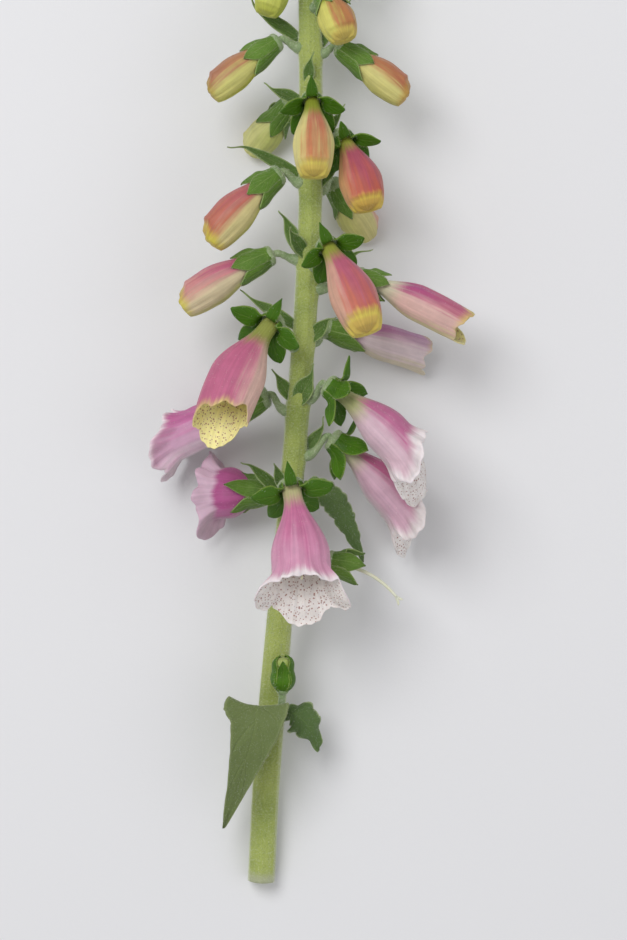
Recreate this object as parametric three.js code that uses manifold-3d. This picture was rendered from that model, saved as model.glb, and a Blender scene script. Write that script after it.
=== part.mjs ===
// A foxglove flower spike, cut near its base and laid on a flat surface.
// Millimetres. +X is to the right, +Y runs from the cut end to the tip, and +Z is up from the surface.
// Every flower is described by where its calyx sits, the way its corolla points and its size. The green stem
// with its bracts is one solid; each flower is a green calyx on its stalk and a coloured corolla or bud.

import * as THREE from "three";
import { mergeVertices } from "three/addons/utils/BufferGeometryUtils.js";
import Module from "manifold-3d";

const wasm = await Module();
wasm.setup();

// ---------------------------------------------------------------- driving dimensions

const BELL_LENGTH = 51; // the longest open corolla, calyx to lower lip
const WALL = 0.8; // corolla wall, sepal and bract thickness
const LEAF_THICKNESS = 0.9;
const SEAT_GAP = 0.3; // between a corolla and its calyx, and between a stalk and the stem
const STALK_RADIUS = 1.5;
const BRACT_ROOT = 1.2; // how deep a bract's root is sunk in the stem
const BRACT_FOLD = 0.35; // how far its halves fold up, as a share of its half-width
const BRACT_CURL = 14; // how many degrees it rises from root to tip
const SEPAL_CLEAR = 1.2; // from a corolla's skin to the middle of a sepal's thickness
const CUP_DEPTH = 2.6; // how far the cup under a flower reaches back along its stalk
const CUP_RIM = 1.35; // how far the cup's rim stands out past the corolla's neck, so that it holds the sepals
const FLARE_START = 0.72; // how far along a corolla its lips begin to turn out
const STEM_BASE_RADIUS = 4.8;
const STEM_BLOOM_RADIUS = 4.1;
const STEM_TIP_RADIUS = 1.1;
const BLOOM_START = 140; // height along the stem of the lowest flower
const TAPER_START = 318; // where the stem begins to thin towards the tip
const STEM_END = 374;
const FINEST = 0.02; // where pieces meet, edges and slivers finer than this are merged

// The stem's middle line. It rests on its cut end, and the bells and buds behind it hold the rest up.
const STEM_LINE = [
  [-17.5, 0, 4.3],
  [-15.4, 40, 9.5],
  [-10.9, 93, 19.5],
  [-5.8, 150, 28],
  [-1.6, 202, 31.5],
  [0.2, 244, 30],
  [0, 312, 25],
  [-1, STEM_END, 21.5],
];

// How many sides and steps the solids have.
const STEM_SIDES = 12;
const STEM_STEPS = 15;
const BELL_SIDES = 16;
const BUD_SIDES = 10;
const SEPAL_PATH = 20;
// The rows of a sepal: share of its length, share of its width.
const BELL_SEPAL_ROWS = [[0, 0.55], [0.3, 0.95], [0.66, 0.9], [1, 0.14]];
const BUD_SEPAL_ROWS = [[0, 0.6], [0.46, 1], [1, 0.14]];
const SEPAL_HALF_ANGLE = 30; // no sepal reaches its neighbour, 72 degrees round
const STALK_SIDES = 8;
const STALK_STEPS = [0, 0.5, 1];

// ---------------------------------------------------------------- colours

const paint = (color, roughness) => new THREE.MeshStandardMaterial({ color, roughness, metalness: 0 });
const STEM_GREEN = paint(0x9db07a, 0.7);
const SEPAL_GREEN = paint(0x55803a, 0.6);
const LEAF_GREEN = paint(0x66805a, 0.8);
const ROSE = paint(0xd99bbb, 0.55);
const PEACH = paint(0xdba27e, 0.55);
const BUD_GREEN = paint(0xc9c96a, 0.55);
const STYLE_CREAM = paint(0xd8dcb4, 0.5);

// ---------------------------------------------------------------- flowers

// seat: where the corolla meets its calyx: x, place along the stem, and height above the stem's middle line.
// from, to: the corolla's heading at its base and at its mouth, as [turn, lift]. Turn is in degrees to the
//   right of straight down the stem, and lift in degrees above the surface.
// length: calyx to the furthest lip. girth: the widest half-width. upper: where its upper side looks.
// sepal: [length, width, spread], where spread 0 hugs the flower and 1 stands off like a star.
// stalk: [place along the stem, angle round it from the top towards +X].
// bract: [place along the stem, angle round it, turn, lift, length, width].
const FACING_UP = [0, 0.3, 1];
const FACING_TIP = [0, 1, 0];
const FLOWERS = [
  { name: "bell_front", form: "open", seat: [-6.6, 141, 15], from: [12, 28], to: [-2, 5],
    length: BELL_LENGTH, girth: 10.2, upper: FACING_UP, sepal: [13, 6.6, 1],
    stalk: [133, 0], bract: [140, -55, -160, 18, 12, 4] },
  { name: "bell_left_low", form: "open", seat: [-14.5, 139, -6.5], from: [-92, -10], to: [-82, -20],
    length: 29, girth: 9.2, upper: FACING_TIP, sepal: [13.5, 6.4, 0.35],
    stalk: [131, -125], bract: [138, -90, -133, 8, 20, 4.2] },
  { name: "bell_right_low", form: "open", seat: [9, 157, -3], from: [52, -6], to: [33, -8],
    length: 47.5, girth: 9.2, upper: FACING_TIP, sepal: [13, 6.4, 0.5],
    stalk: [148, 85], bract: [153, 95, 142, -6, 15, 4] },
  { name: "bell_right_high", form: "open", seat: [7.6, 175.5, 10.5], from: [57, 14], to: [33, 5],
    length: 49.5, girth: 9.4, upper: FACING_TIP, sepal: [13, 6.4, 0.55],
    stalk: [168, 60], bract: [171, -5, 152, 20, 15, 7] },
  { name: "bell_left_far", form: "open", seat: [-17, 172.5, -6.5], from: [-66, -10], to: [-62, -26],
    length: 48, girth: 9.2, upper: FACING_TIP, sepal: [13, 6.4, 0.3],
    stalk: [163, -95], bract: [172, -75, -148, 10, 12, 4.6] },
  { name: "bell_left_front", form: "fresh", seat: [-13.3, 198, 10.5], from: [-38, 30], to: [-14, 5],
    length: 50, girth: 9.8, upper: FACING_UP, sepal: [13, 7, 0.85],
    stalk: [190, -48], bract: [197, -92, -121, 4, 23, 4.5] },
  { name: "bell_right_far", form: "half", seat: [6.8, 196.8, -9.7], from: [78, -16], to: [72, -34],
    length: 42, girth: 7.8, upper: FACING_TIP, sepal: [14, 7, 0.25],
    stalk: [188, 110], bract: [193, 62, 139, 12, 12, 5] },
  { name: "bell_right_upper", form: "half", seat: [18, 214, 3.6], from: [68, 6], to: [60, 2],
    length: 43, girth: 7.6, upper: FACING_TIP, sepal: [11, 5.6, 0.2],
    stalk: [206, 78], bract: [212, 112, 128, -8, 24, 4] },
  { name: "bud_right_front", form: "bud", seat: [6, 224.5, 13], from: [31, 34], to: [18, 10],
    length: 37, girth: 8.2, upper: FACING_UP, sepal: [11.5, 6.6, 0.75],
    stalk: [218, 30], bract: [222, -25, -146, 20, 13, 5] },
  { name: "bud_left_low", form: "bud", seat: [-15, 221.5, 3], from: [-66, 4], to: [-52, -4],
    length: 34.5, girth: 7.2, upper: FACING_TIP, sepal: [13.5, 7.6, 0.15],
    stalk: [216, -80], bract: [223, -95, -156, 0, 17, 5] },
  { name: "bud_left_mid", form: "bud", seat: [-12, 249.5, 5], from: [-52, 8], to: [-36, 2],
    length: 33, girth: 7.6, upper: FACING_TIP, sepal: [13, 7.6, 0.25],
    stalk: [243, -70], bract: [250, -100, -117, 0, 29, 4.2] },
  { name: "bud_right_back", form: "bud", seat: [8.5, 247.5, -12.6], from: [38, -36], to: [34, -36],
    length: 25, girth: 6.8, upper: FACING_TIP, sepal: [12, 6.6, 0.2],
    stalk: [241, 125], bract: [247, 85, 146, -4, 16, 4.4] },
  { name: "bud_right_mid", form: "bud", seat: [11.5, 262.5, 9], from: [26, 20], to: [12, 4],
    length: 28, girth: 7.6, upper: FACING_UP, sepal: [11.5, 6.6, 0.6],
    stalk: [256, 55], bract: [263, 80, 140, 8, 15, 4] },
  { name: "bud_front", form: "bud", seat: [0.7, 275.5, 13], from: [3, 38], to: [0, 8],
    length: 31, girth: 7.2, upper: FACING_UP, sepal: [12, 6.6, 0.6],
    stalk: [269, 0], bract: [283, -20, 172, 24, 11, 4] },
  { name: "bud_left_back", form: "bud", seat: [-7.5, 276.5, -12.9], from: [-42, -30], to: [-40, -34],
    length: 23.5, girth: 6.4, upper: FACING_TIP, sepal: [12, 7, 0.15],
    stalk: [270, -120], bract: [276, -78, -112, 4, 15, 4.6] },
  { name: "bud_right_high", form: "bud", seat: [11.6, 294.5, 4], from: [56, 6], to: [48, 0],
    length: 28, girth: 6.6, upper: FACING_TIP, sepal: [13, 7.4, 0.15],
    stalk: [289, 80], bract: [296, 100, 154, -8, 20, 5] },
  { name: "bud_left_high", form: "bud", seat: [-12.6, 296.5, 4], from: [-54, 6], to: [-48, 0],
    length: 28.5, girth: 6.4, upper: FACING_TIP, sepal: [13, 7.4, 0.2],
    stalk: [291, -78], bract: [298, -108, -123, -4, 21, 4.4] },
  { name: "bud_front_high", form: "bud", seat: [4.4, 314, 12], from: [26, 36], to: [20, 14],
    length: 23, girth: 6.6, upper: FACING_UP, sepal: [11.5, 6.8, 0.3],
    stalk: [309, 25], bract: [319, 10, 178, 20, 12, 4] },
  { name: "bud_left_top", form: "bud", seat: [-8.6, 323, 7], from: [-26, 14], to: [-18, 2],
    length: 20.5, girth: 5.8, upper: FACING_UP, sepal: [11, 6.4, 0.15],
    stalk: [321, -55], bract: [328, -92, -128, 0, 16, 4] },
  { name: "bud_right_top", form: "green", seat: [8.2, 329.5, 2.5], from: [58, 2], to: [50, -4],
    length: 17.5, girth: 5, upper: FACING_TIP, sepal: [10.5, 6, 0.1],
    stalk: [324, 85], bract: [331, 100, 140, -4, 15, 3.8] },
  { name: "bud_back_top", form: "green", seat: [-5.4, 337, -7], from: [-36, -26], to: [-34, -26],
    length: 15.5, girth: 4.6, upper: FACING_TIP, sepal: [10, 5.6, 0.1],
    stalk: [336, -140], bract: [338, -95, -130, 0, 13, 3.6] },
  { name: "bud_front_top", form: "green", seat: [1.8, 342, 10.5], from: [14, 30], to: [10, 8],
    length: 14, girth: 4.4, upper: FACING_UP, sepal: [9.5, 5.4, 0.1],
    stalk: [337, 10], bract: [344.5, -20, 176, 24, 10, 3.6] },
];

// A flower whose corolla has dropped leaves its calyx, with the seed case and its long style.
const SPENT = { form: "spent", seat: [8, 114.5, 4], from: [80, 2], to: [72, -2], length: 8, girth: 2.9,
  upper: FACING_TIP, stalk: [107, 70], sepal: [11.5, 7, 0.35] };
const STYLE_LENGTH = 20;
const STYLE_RADIUS = 0.55;
const STYLE_END = [38, -8]; // the heading of the style's end

// ---------------------------------------------------------------- small helpers

const vec = (x, y, z) => new THREE.Vector3(x, y, z);
const radians = THREE.MathUtils.degToRad;
const lerp = THREE.MathUtils.lerp;
const smooth = (low, high, x) => THREE.MathUtils.smoothstep(x, low, high);

// 1 at the middle of a lobe, 0 at its two ends.
const lobe = (angle, middle, half) =>
  Math.abs(angle - middle) < half ? Math.cos(((angle - middle) / half) * Math.PI * 0.5) ** 2 : 0;

// The unit vector of a heading: turn 0 is straight down the stem, to its cut end.
function heading([turn, lift]) {
  const t = radians(turn);
  const l = radians(lift);
  return vec(Math.sin(t) * Math.cos(l), -Math.cos(t) * Math.cos(l), Math.sin(l));
}

// Two unit vectors square to an axis: one as near as can be to a wanted direction, and one to its side.
function crossFrame(axis, wanted) {
  const top = wanted.clone().addScaledVector(axis, -wanted.dot(axis)).normalize();
  return { top, side: axis.clone().cross(top) };
}

function indexed(points, triangles) {
  const geometry = new THREE.BufferGeometry();
  geometry.setAttribute("position", new THREE.Float32BufferAttribute(points.flatMap((p) => p.toArray()), 3));
  geometry.setIndex(triangles.flat());
  return geometry;
}

// A closed skin over rings of points, each ring with the same count, with a flat cap at both ends.
function loft(rings) {
  const sides = rings[0].length;
  const points = rings.flat();
  const triangles = [];
  for (let i = 0; i + 1 < rings.length; i++) {
    for (let j = 0; j < sides; j++) {
      const k = (j + 1) % sides;
      const [a, b, c, d] = [i * sides + j, i * sides + k, (i + 1) * sides + j, (i + 1) * sides + k];
      triangles.push([a, b, d], [a, d, c]);
    }
  }
  const addCap = (ring, first, turned) => {
    const middle = ring.reduce((sum, p) => sum.add(p), vec(0, 0, 0)).divideScalar(sides);
    points.push(middle);
    for (let j = 0; j < sides; j++) {
      const [a, b] = [first + j, first + ((j + 1) % sides)];
      triangles.push(turned ? [b, a, points.length - 1] : [a, b, points.length - 1]);
    }
  };
  addCap(rings[0], 0, true);
  addCap(rings[rings.length - 1], (rings.length - 1) * sides, false);
  return indexed(points, triangles);
}

// A thin blade from a grid of points on its middle surface, split into the same triangles on both faces.
function blade(grid, thickness) {
  const rows = grid.length;
  const columns = grid[0].length;
  const faces = [1, -1].map((way) =>
    grid.map((row, i) => row.map((p, j) => {
      const along = grid[Math.min(i + 1, rows - 1)][j].clone().sub(grid[Math.max(i - 1, 0)][j]);
      const across = row[Math.min(j + 1, columns - 1)].clone().sub(row[Math.max(j - 1, 0)]);
      return p.clone().addScaledVector(across.cross(along).normalize(), (way * thickness) / 2);
    })));
  const points = faces.flat(2);
  const at = (face, i, j) => (face * rows + i) * columns + j;
  const triangles = [];
  for (let i = 0; i + 1 < rows; i++) {
    for (let j = 0; j + 1 < columns; j++) {
      triangles.push([at(0, i, j), at(0, i, j + 1), at(0, i + 1, j + 1)]);
      triangles.push([at(0, i, j), at(0, i + 1, j + 1), at(0, i + 1, j)]);
      triangles.push([at(1, i, j), at(1, i + 1, j + 1), at(1, i, j + 1)]);
      triangles.push([at(1, i, j), at(1, i + 1, j), at(1, i + 1, j + 1)]);
    }
  }
  const rim = [];
  for (let j = 0; j + 1 < columns; j++) rim.push([0, j]);
  for (let i = 0; i + 1 < rows; i++) rim.push([i, columns - 1]);
  for (let j = columns - 1; j > 0; j--) rim.push([rows - 1, j]);
  for (let i = rows - 1; i > 0; i--) rim.push([i, 0]);
  rim.forEach(([i, j], n) => {
    const [k, l] = rim[(n + 1) % rim.length];
    triangles.push([at(0, i, j), at(1, i, j), at(1, k, l)], [at(0, i, j), at(1, k, l), at(0, k, l)]);
  });
  return indexed(points, triangles);
}

// A round ring of points square to an axis, the first of them towards a wanted direction.
function roundRing(centre, axis, radius, sides, wanted) {
  const { top, side } = crossFrame(axis, wanted);
  return Array.from({ length: sides }, (_, j) => {
    const angle = (2 * Math.PI * j) / sides;
    return centre.clone()
      .addScaledVector(top, radius * Math.cos(angle))
      .addScaledVector(side, radius * Math.sin(angle));
  });
}

// A round tube along a curve, its radius given as a function of the share of the curve.
function tube(curve, radiusAt, sides, steps) {
  const up = vec(0, 0, 1);
  const shares = Array.from({ length: steps + 1 }, (_, i) => i / steps);
  return loft(shares.map((s) => roundRing(curve.getPoint(s), curve.getTangent(s), radiusAt(s), sides, up)));
}

// ---------------------------------------------------------------- solids

function solid(geometry) {
  return new wasm.Manifold(new wasm.Mesh({
    numProp: 3,
    vertProperties: geometry.getAttribute("position").array,
    triVerts: new Uint32Array(geometry.getIndex().array),
  }));
}

// A slab below the surface. Whatever rests on the surface is flattened against it.
function groundSlab() {
  const slab = new THREE.BoxGeometry(400, 800, 60).translate(0, 200, -30);
  slab.deleteAttribute("normal");
  slab.deleteAttribute("uv");
  return solid(mergeVertices(slab));
}
const GROUND = groundSlab();

function fuse(geometries) {
  return geometries.map(solid).reduce((whole, next) => whole.add(next));
}

function mesh(name, made, material) {
  const cut = made.subtract(GROUND).simplify(FINEST).getMesh();
  const geometry = new THREE.BufferGeometry();
  geometry.setAttribute("position", new THREE.BufferAttribute(new Float32Array(cut.vertProperties), 3));
  geometry.setIndex(new THREE.BufferAttribute(new Uint32Array(cut.triVerts), 1));
  const found = new THREE.Mesh(geometry, material);
  found.name = name;
  return found;
}

// ---------------------------------------------------------------- stem

const stemCurve = new THREE.CatmullRomCurve3(STEM_LINE.map((p) => vec(...p)));

// The share of the curve's parameter at a place along the stem, found by halving.
function stemShare(y) {
  let [low, high] = [0, 1];
  for (let n = 0; n < 30; n++) {
    const middle = (low + high) / 2;
    if (stemCurve.getPoint(middle).y < y) low = middle;
    else high = middle;
  }
  return low;
}

function stemRadius(y) {
  if (y > TAPER_START) {
    return lerp(STEM_BLOOM_RADIUS, STEM_TIP_RADIUS, (y - TAPER_START) / (STEM_END - TAPER_START));
  }
  return lerp(STEM_BASE_RADIUS, STEM_BLOOM_RADIUS, smooth(60, BLOOM_START, y));
}

// A point on or off the stem's skin, with the way out from the stem there.
function stemPoint(y, around, off) {
  const share = stemShare(y);
  const { top, side } = crossFrame(stemCurve.getTangent(share), vec(0, 0, 1));
  const angle = radians(around);
  const out = top.multiplyScalar(Math.cos(angle)).addScaledVector(side, Math.sin(angle));
  return { point: stemCurve.getPoint(share).addScaledVector(out, stemRadius(y) + off), out };
}

function stemTube() {
  const radiusAt = (share) => stemRadius(stemCurve.getPoint(share).y);
  return tube(stemCurve, radiusAt, STEM_SIDES, STEM_STEPS);
}

// A bract's outline: how far along it each row stands, and how wide it is there.
const BRACT_ROWS = [[0, 0.6], [0.46, 1], [1, 0.12]];

// A narrow blade that bends along an arc from its root, its two halves folded up from the midrib.
function bractGrid({ root, from, to, length, width, facing }) {
  const start = heading(from);
  const end = heading(to);
  return BRACT_ROWS.map(([s, outline]) => {
    const centre = root.clone()
      .addScaledVector(start, length * (s - (s * s) / 2))
      .addScaledVector(end, (length * s * s) / 2);
    const along = start.clone().lerp(end, s).normalize();
    const { top, side } = crossFrame(along, facing);
    const half = (width / 2) * outline;
    return [-1, 0, 1].map((v) => centre.clone()
      .addScaledVector(side, half * v)
      .addScaledVector(top, half * BRACT_FOLD * Math.abs(v)));
  });
}

// The bract beside a flower's stalk, its root sunk in the stem.
function bract({ bract: [y, around, turn, lift, length, width] }) {
  const { point, out } = stemPoint(y, around, -BRACT_ROOT);
  const grid = bractGrid({ root: point, from: [turn, lift], to: [turn, lift + BRACT_CURL], length, width,
    facing: out.clone().add(vec(0, 1, 0)) });
  return blade(grid, WALL);
}

// ---------------------------------------------------------------- flowers

// The lip of an open corolla, by the angle from the upper side: how far it reaches and how much it flares.
const LIPS = {
  open: { upper: 0.74, lower: 0.87, side: 0.03, tongue: 0.13, flare: 1 },
  fresh: { upper: 0.76, lower: 0.88, side: 0.01, tongue: 0.12, flare: 0.25 },
  half: { upper: 0.81, lower: 0.92, side: 0.02, tongue: 0.08, flare: 0.3 },
};
function lip(form, angle) {
  const around = Math.abs(angle);
  const sideLobe = lobe(around, 84, 40);
  const lowLobe = lobe(around, 180, 60) ** 0.65;
  const topLobe = lobe(around, 27, 27);
  const { upper, lower, side, tongue, flare } = LIPS[form];
  return {
    reach: lerp(upper, lower, smooth(30, 150, around)) + 0.03 * topLobe + side * sideLobe + tongue * lowLobe,
    flare: flare * (0.12 + 0.24 * topLobe + 0.5 * sideLobe + 0.3 * lowLobe),
  };
}

// How wide the corolla is at a share of its length, as a share of its girth.
// A spent flower has only its seed case.
function swelling(form, share) {
  if (form === "spent") return 1;
  if (LIPS[form]) return lerp(0.33, 1, smooth(0.08, 0.52, share));
  const rise = lerp(0.4, 1, smooth(0.1, 0.56, share));
  return share < 0.76 ? rise : rise * Math.sqrt(Math.max(0, 1 - ((share - 0.76) / 0.27) ** 2));
}

// An open corolla is narrower from its upper to its lower side than across, and a bud is nearly round.
const section = (form, angle) => 1 - (LIPS[form] ? 0.17 : 0.05) * Math.cos(radians(angle)) ** 2;

class Flower {
  constructor(spec) {
    Object.assign(this, spec);
    this.start = heading(spec.from);
    this.end = heading(spec.to);
    const [x, y, rise] = spec.seat;
    this.foot = vec(x, y, stemCurve.getPoint(stemShare(y)).z + rise);
    this.neck = this.girth * swelling(spec.form, 0);
    this.upperWay = vec(...spec.upper);
  }

  // The corolla's middle line, and the frame across it whose top is the corolla's upper side.
  frame(share) {
    const centre = this.foot.clone()
      .addScaledVector(this.start, this.length * (share - (share * share) / 2))
      .addScaledVector(this.end, (this.length * share * share) / 2);
    const along = this.start.clone().lerp(this.end, share).normalize();
    return { centre, along, ...crossFrame(along, this.upperWay) };
  }

  // A point at a distance from the middle line, at an angle from the upper side.
  at(share, angle, distance) {
    const { centre, top, side } = this.frame(share);
    return centre
      .addScaledVector(top, distance * Math.cos(radians(angle)))
      .addScaledVector(side, distance * Math.sin(radians(angle)));
  }

  // A point of the corolla's outer skin, u from 0 at its base to 1 at its edge.
  skin(u, angle) {
    const bodyAt = (share) => swelling(this.form, share) * section(this.form, angle);
    if (!LIPS[this.form]) return this.at(u, angle, this.girth * bodyAt(u));
    const { reach, flare } = lip(this.form, angle);
    const flared = flare * smooth(FLARE_START, 1, u) ** 1.4;
    return this.at(u * reach, angle, this.girth * (bodyAt(u * reach) + flared));
  }

  // The same point moved in by the wall, square to the skin.
  inner(u, angle) {
    const step = 0.01;
    const along = this.skin(Math.min(u + step, 1), angle).sub(this.skin(Math.max(u - step, 0), angle));
    const across = this.skin(u, angle + 1).sub(this.skin(u, angle - 1));
    return this.skin(u, angle).addScaledVector(along.cross(across).normalize(), WALL);
  }

  corolla() {
    const ring = (sides, pointAt) =>
      Array.from({ length: sides }, (_, j) => pointAt(((j / sides + 0.5) % 1) * 360 - 180));
    if (LIPS[this.form]) {
      const outside = [0, 0.18, 0.36, 0.58, 0.78, 1];
      const inside = [1, 0.82, 0.5, 0.22];
      return loft([
        ...outside.map((u) => ring(BELL_SIDES, (angle) => this.skin(u, angle))),
        ...inside.map((u) => ring(BELL_SIDES, (angle) => this.inner(u, angle))),
      ]);
    }
    const steps = this.form === "green" ? [0, 0.3, 0.6, 0.85, 1] : [0, 0.18, 0.4, 0.62, 0.84, 0.95, 1];
    return loft(steps.map((u) => ring(BUD_SIDES, (angle) => this.skin(u, angle))));
  }

  // The stalk, from the stem's skin to the calyx, widening at its end into the cup that holds the flower.
  stalkSolid() {
    const [y, around] = this.stalk;
    const { point, out } = stemPoint(y, around, SEAT_GAP);
    const end = this.foot.clone().addScaledVector(this.start, -CUP_DEPTH);
    const reach = point.distanceTo(end);
    const curve = new THREE.CubicBezierCurve3(
      point,
      point.clone().addScaledVector(out, reach * 0.5),
      end.clone().addScaledVector(this.start, -reach * 0.3),
      end,
    );
    const ring = (centre, along, radius) => roundRing(centre, along, radius, STALK_SIDES, vec(0, 1, 0));
    const stalk = STALK_STEPS.map((s) =>
      ring(curve.getPoint(s), curve.getTangent(s), STALK_RADIUS * (1 + 0.3 * (1 - s) ** 3)));
    const rim = (this.neck + CUP_RIM) / Math.cos(Math.PI / STALK_SIDES);
    const cup = [[-1.8, this.neck + 1], [-SEAT_GAP, rim]].map(([back, radius]) =>
      ring(this.foot.clone().addScaledVector(this.start, back), this.start, radius));
    return solid(loft([...stalk, ...cup]));
  }

  // One sepal: a curved, pointed blade round the corolla's base, clear of the corolla all the way.
  sepalBlade(index) {
    const [length, width, spread] = this.sepal;
    const middle = index * 72;
    const long = index === 0 ? length * 0.86 : length;
    const wide = index === 0 ? width * 0.55 : width;
    const rows = LIPS[this.form] ? BELL_SEPAL_ROWS : BUD_SEPAL_ROWS;
    let [back, off] = [-1, this.neck + 0.6];
    const path = [[back, off]];
    for (let n = 0; n < SEPAL_PATH; n++) {
      const lean = radians(lerp(14, 14 + 66 * spread, smooth(0.1, 0.45, (n + 0.5) / SEPAL_PATH)));
      back += (long / SEPAL_PATH) * Math.cos(lean);
      off += (long / SEPAL_PATH) * Math.sin(lean);
      path.push([back, off]);
    }
    return rows.map(([s, outline]) => {
      const [a, r] = path[Math.round(s * SEPAL_PATH)];
      const share = Math.max(a, 0) / this.length;
      const body = a > 0 ? this.girth * swelling(this.form, share) * section(this.form, middle) : 0;
      const hug = Math.max(r, body + SEPAL_CLEAR);
      return (index === 0 ? [-1, 1] : [-1, 0, 1]).map((v) => {
        const half = Math.min(SEPAL_HALF_ANGLE, ((wide / 2) * outline * 180) / (Math.PI * hug));
        return this.at(share, middle + v * half, hug).addScaledVector(this.start, Math.min(a, 0));
      });
    });
  }

  // What a dropped corolla leaves: the seed case, and the long style with its forked end.
  pistil() {
    const egg = [[0, 0.6], [0.3, 0.9], [0.6, 1], [0.85, 0.6], [1, 0.25]];
    const seedCase = loft(egg.map(([share, wide]) =>
      Array.from({ length: 8 }, (_, j) => this.at(share, j * 45, this.girth * wide))));
    const { centre, along } = this.frame(0.9);
    const bend = heading(STYLE_END);
    const elbow = centre.clone().addScaledVector(along, STYLE_LENGTH * 0.5);
    const end = elbow.clone().addScaledVector(bend, STYLE_LENGTH * 0.5);
    const forks = [1, -1].map((way) => {
      const root = end.clone().addScaledVector(bend, -0.5);
      const tip = end.clone().addScaledVector(bend, 2.2).addScaledVector(vec(0.6, 0.8, 0), way * 1.3);
      return tube(new THREE.LineCurve3(root, tip), () => STYLE_RADIUS * 0.8, 5, 1);
    });
    const style = tube(new THREE.QuadraticBezierCurve3(centre, elbow, end), () => STYLE_RADIUS, 5, 4);
    return fuse([seedCase, style, ...forks]);
  }

  calyx() {
    const sepals = [0, 1, 2, 3, 4].map((n) => solid(blade(this.sepalBlade(n), WALL)));
    return sepals.reduce((whole, sepal) => whole.add(sepal), this.stalkSolid());
  }
}

// ---------------------------------------------------------------- the spike's tip

// Small green buds packed round the tip, each a pointed egg, a turn of the golden angle from the last.
const TIP_BUDS = 13;
const TIP_START = 347;
const GOLDEN_ANGLE = 137.5;
const EGG = [[0, 0.6], [0.5, 1], [1, 0.14]];

function tipBud(index) {
  const age = 1 - index / TIP_BUDS;
  const y = lerp(STEM_END - 2, TIP_START, age ** 1.15);
  const length = lerp(4.5, 10.5, age);
  const width = lerp(1.1, 2.9, age);
  const { point, out } = stemPoint(y, 60 + index * GOLDEN_ANGLE, -0.6);
  const along = out.clone().multiplyScalar(lerp(0.35, 1, age)).add(vec(0, 0.75, 0)).normalize();
  return loft(EGG.map(([s, wide]) =>
    roundRing(point.clone().addScaledVector(along, length * s), along, width * wide, 5, vec(0, 1, 0.1))));
}

// ---------------------------------------------------------------- leaves near the foot of the stem

// A leaf along its midrib. Its edge has rounded teeth, and its blade is a little troughed along the midrib.
// across: which way its width lies, at its foot and at its point.
function leafSolid({ midrib, width, outline, teeth, trough, across }) {
  const curve = new THREE.CatmullRomCurve3(midrib.map((p) => vec(...p)));
  const [first, last] = across.map((p) => vec(...p));
  const rows = 2 * teeth;
  const grid = Array.from({ length: rows + 1 }, (_, i) => {
    const s = i / rows;
    const along = curve.getTangent(s);
    const { top: side } = crossFrame(along, first.clone().lerp(last, s));
    const top = side.clone().cross(along);
    const half = (width / 2) * outline(s) * (i % 2 ? 1 : 0.88);
    return [-1, -0.5, 0, 0.5, 1].map((v) => curve.getPoint(s)
      .addScaledVector(side, half * v)
      .addScaledVector(top, half * trough * v * v));
  });
  return solid(blade(grid, LEAF_THICKNESS));
}

// A leaf's outline: from a narrow foot to full width at the belly, and on to the point.
const leafOutline = (foot, belly, power) => (s) =>
  (s < belly ? lerp(foot, 1, smooth(0, belly, s)) : lerp(1, 0.06, ((s - belly) / (1 - belly)) ** power));

// The largest leaf stands out from the stem, folds over and hangs.
const HANGING_LEAF = {
  midrib: [
    [-17.9, 55.5, 16.5], [-19.6, 59, 23], [-18.8, 64, 30],
    [-19, 58, 33.5], [-23.5, 42, 30.5], [-30.6, 20.5, 21],
  ],
  width: 23, teeth: 6, trough: -0.1, across: [[0.8, 0.1, 0.6], [1.4, -0.4, -0.3]],
  outline: leafOutline(0.2, 0.46, 1.15),
};
const SIDE_LEAF = {
  midrib: [[-9.3, 60, 15.3], [-5, 60.5, 19.5], [-0.5, 56, 20], [3.2, 47.6, 16.5]],
  width: 13, teeth: 5, trough: 0.3, across: [[0.1, 1, 0], [1.2, 0.2, -0.2]],
  outline: leafOutline(0.3, 0.5, 1.3),
};
const LEAFY_BRACT = {
  midrib: [[-2.6, 140.5, 29.6], [1.4, 141.5, 31], [8.5, 136, 27], [14, 126, 22], [19, 114.5, 17.5]],
  width: 9.4, teeth: 6, trough: 0.25, across: [[0, 1, 0], [1.4, 0.1, 0]],
  outline: leafOutline(0.4, 0.5, 1.5),
};

// The side shoot in the hanging leaf's axil ends in one young calyx that is still closed.
const SHOOT = { form: "green", seat: [-9.6, 70.5, 12], from: [176, 14], to: [184, 12], length: 10.5, girth: 3,
  upper: FACING_UP, stalk: [63, 25], sepal: [12.5, 6.6, 0.16] };

// ---------------------------------------------------------------- the whole spike

const spike = new THREE.Group();
const add = (name, made, material) => spike.add(mesh(name, made, material));

const tipBuds = Array.from({ length: TIP_BUDS }, (_, n) => tipBud(n));
add("stem", fuse([stemTube(), ...FLOWERS.map(bract), ...tipBuds]), STEM_GREEN);
for (const spec of FLOWERS) {
  const flower = new Flower(spec);
  add(`${spec.name}_calyx`, flower.calyx(), SEPAL_GREEN);
  add(`${spec.name}_corolla`, solid(flower.corolla()), { bud: PEACH, green: BUD_GREEN }[spec.form] ?? ROSE);
}
const spent = new Flower(SPENT);
add("spent_calyx", spent.calyx(), SEPAL_GREEN);
add("spent_pistil", spent.pistil(), STYLE_CREAM);
const shoot = new Flower(SHOOT);
add("side_shoot_calyx", shoot.calyx(), SEPAL_GREEN);
add("side_shoot_bud", solid(shoot.corolla()), BUD_GREEN);
add("leaf_hanging", leafSolid(HANGING_LEAF), LEAF_GREEN);
add("leaf_side", leafSolid(SIDE_LEAF), LEAF_GREEN);
add("leafy_bract", leafSolid(LEAFY_BRACT), LEAF_GREEN);

// The origin goes to the middle of the part's box, on the surface it lies on.
const box = new THREE.Box3().setFromObject(spike);
spike.position.set(-(box.min.x + box.max.x) / 2, -(box.min.y + box.max.y) / 2, -box.min.z);
spike.updateMatrixWorld(true);

export default spike;
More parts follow.
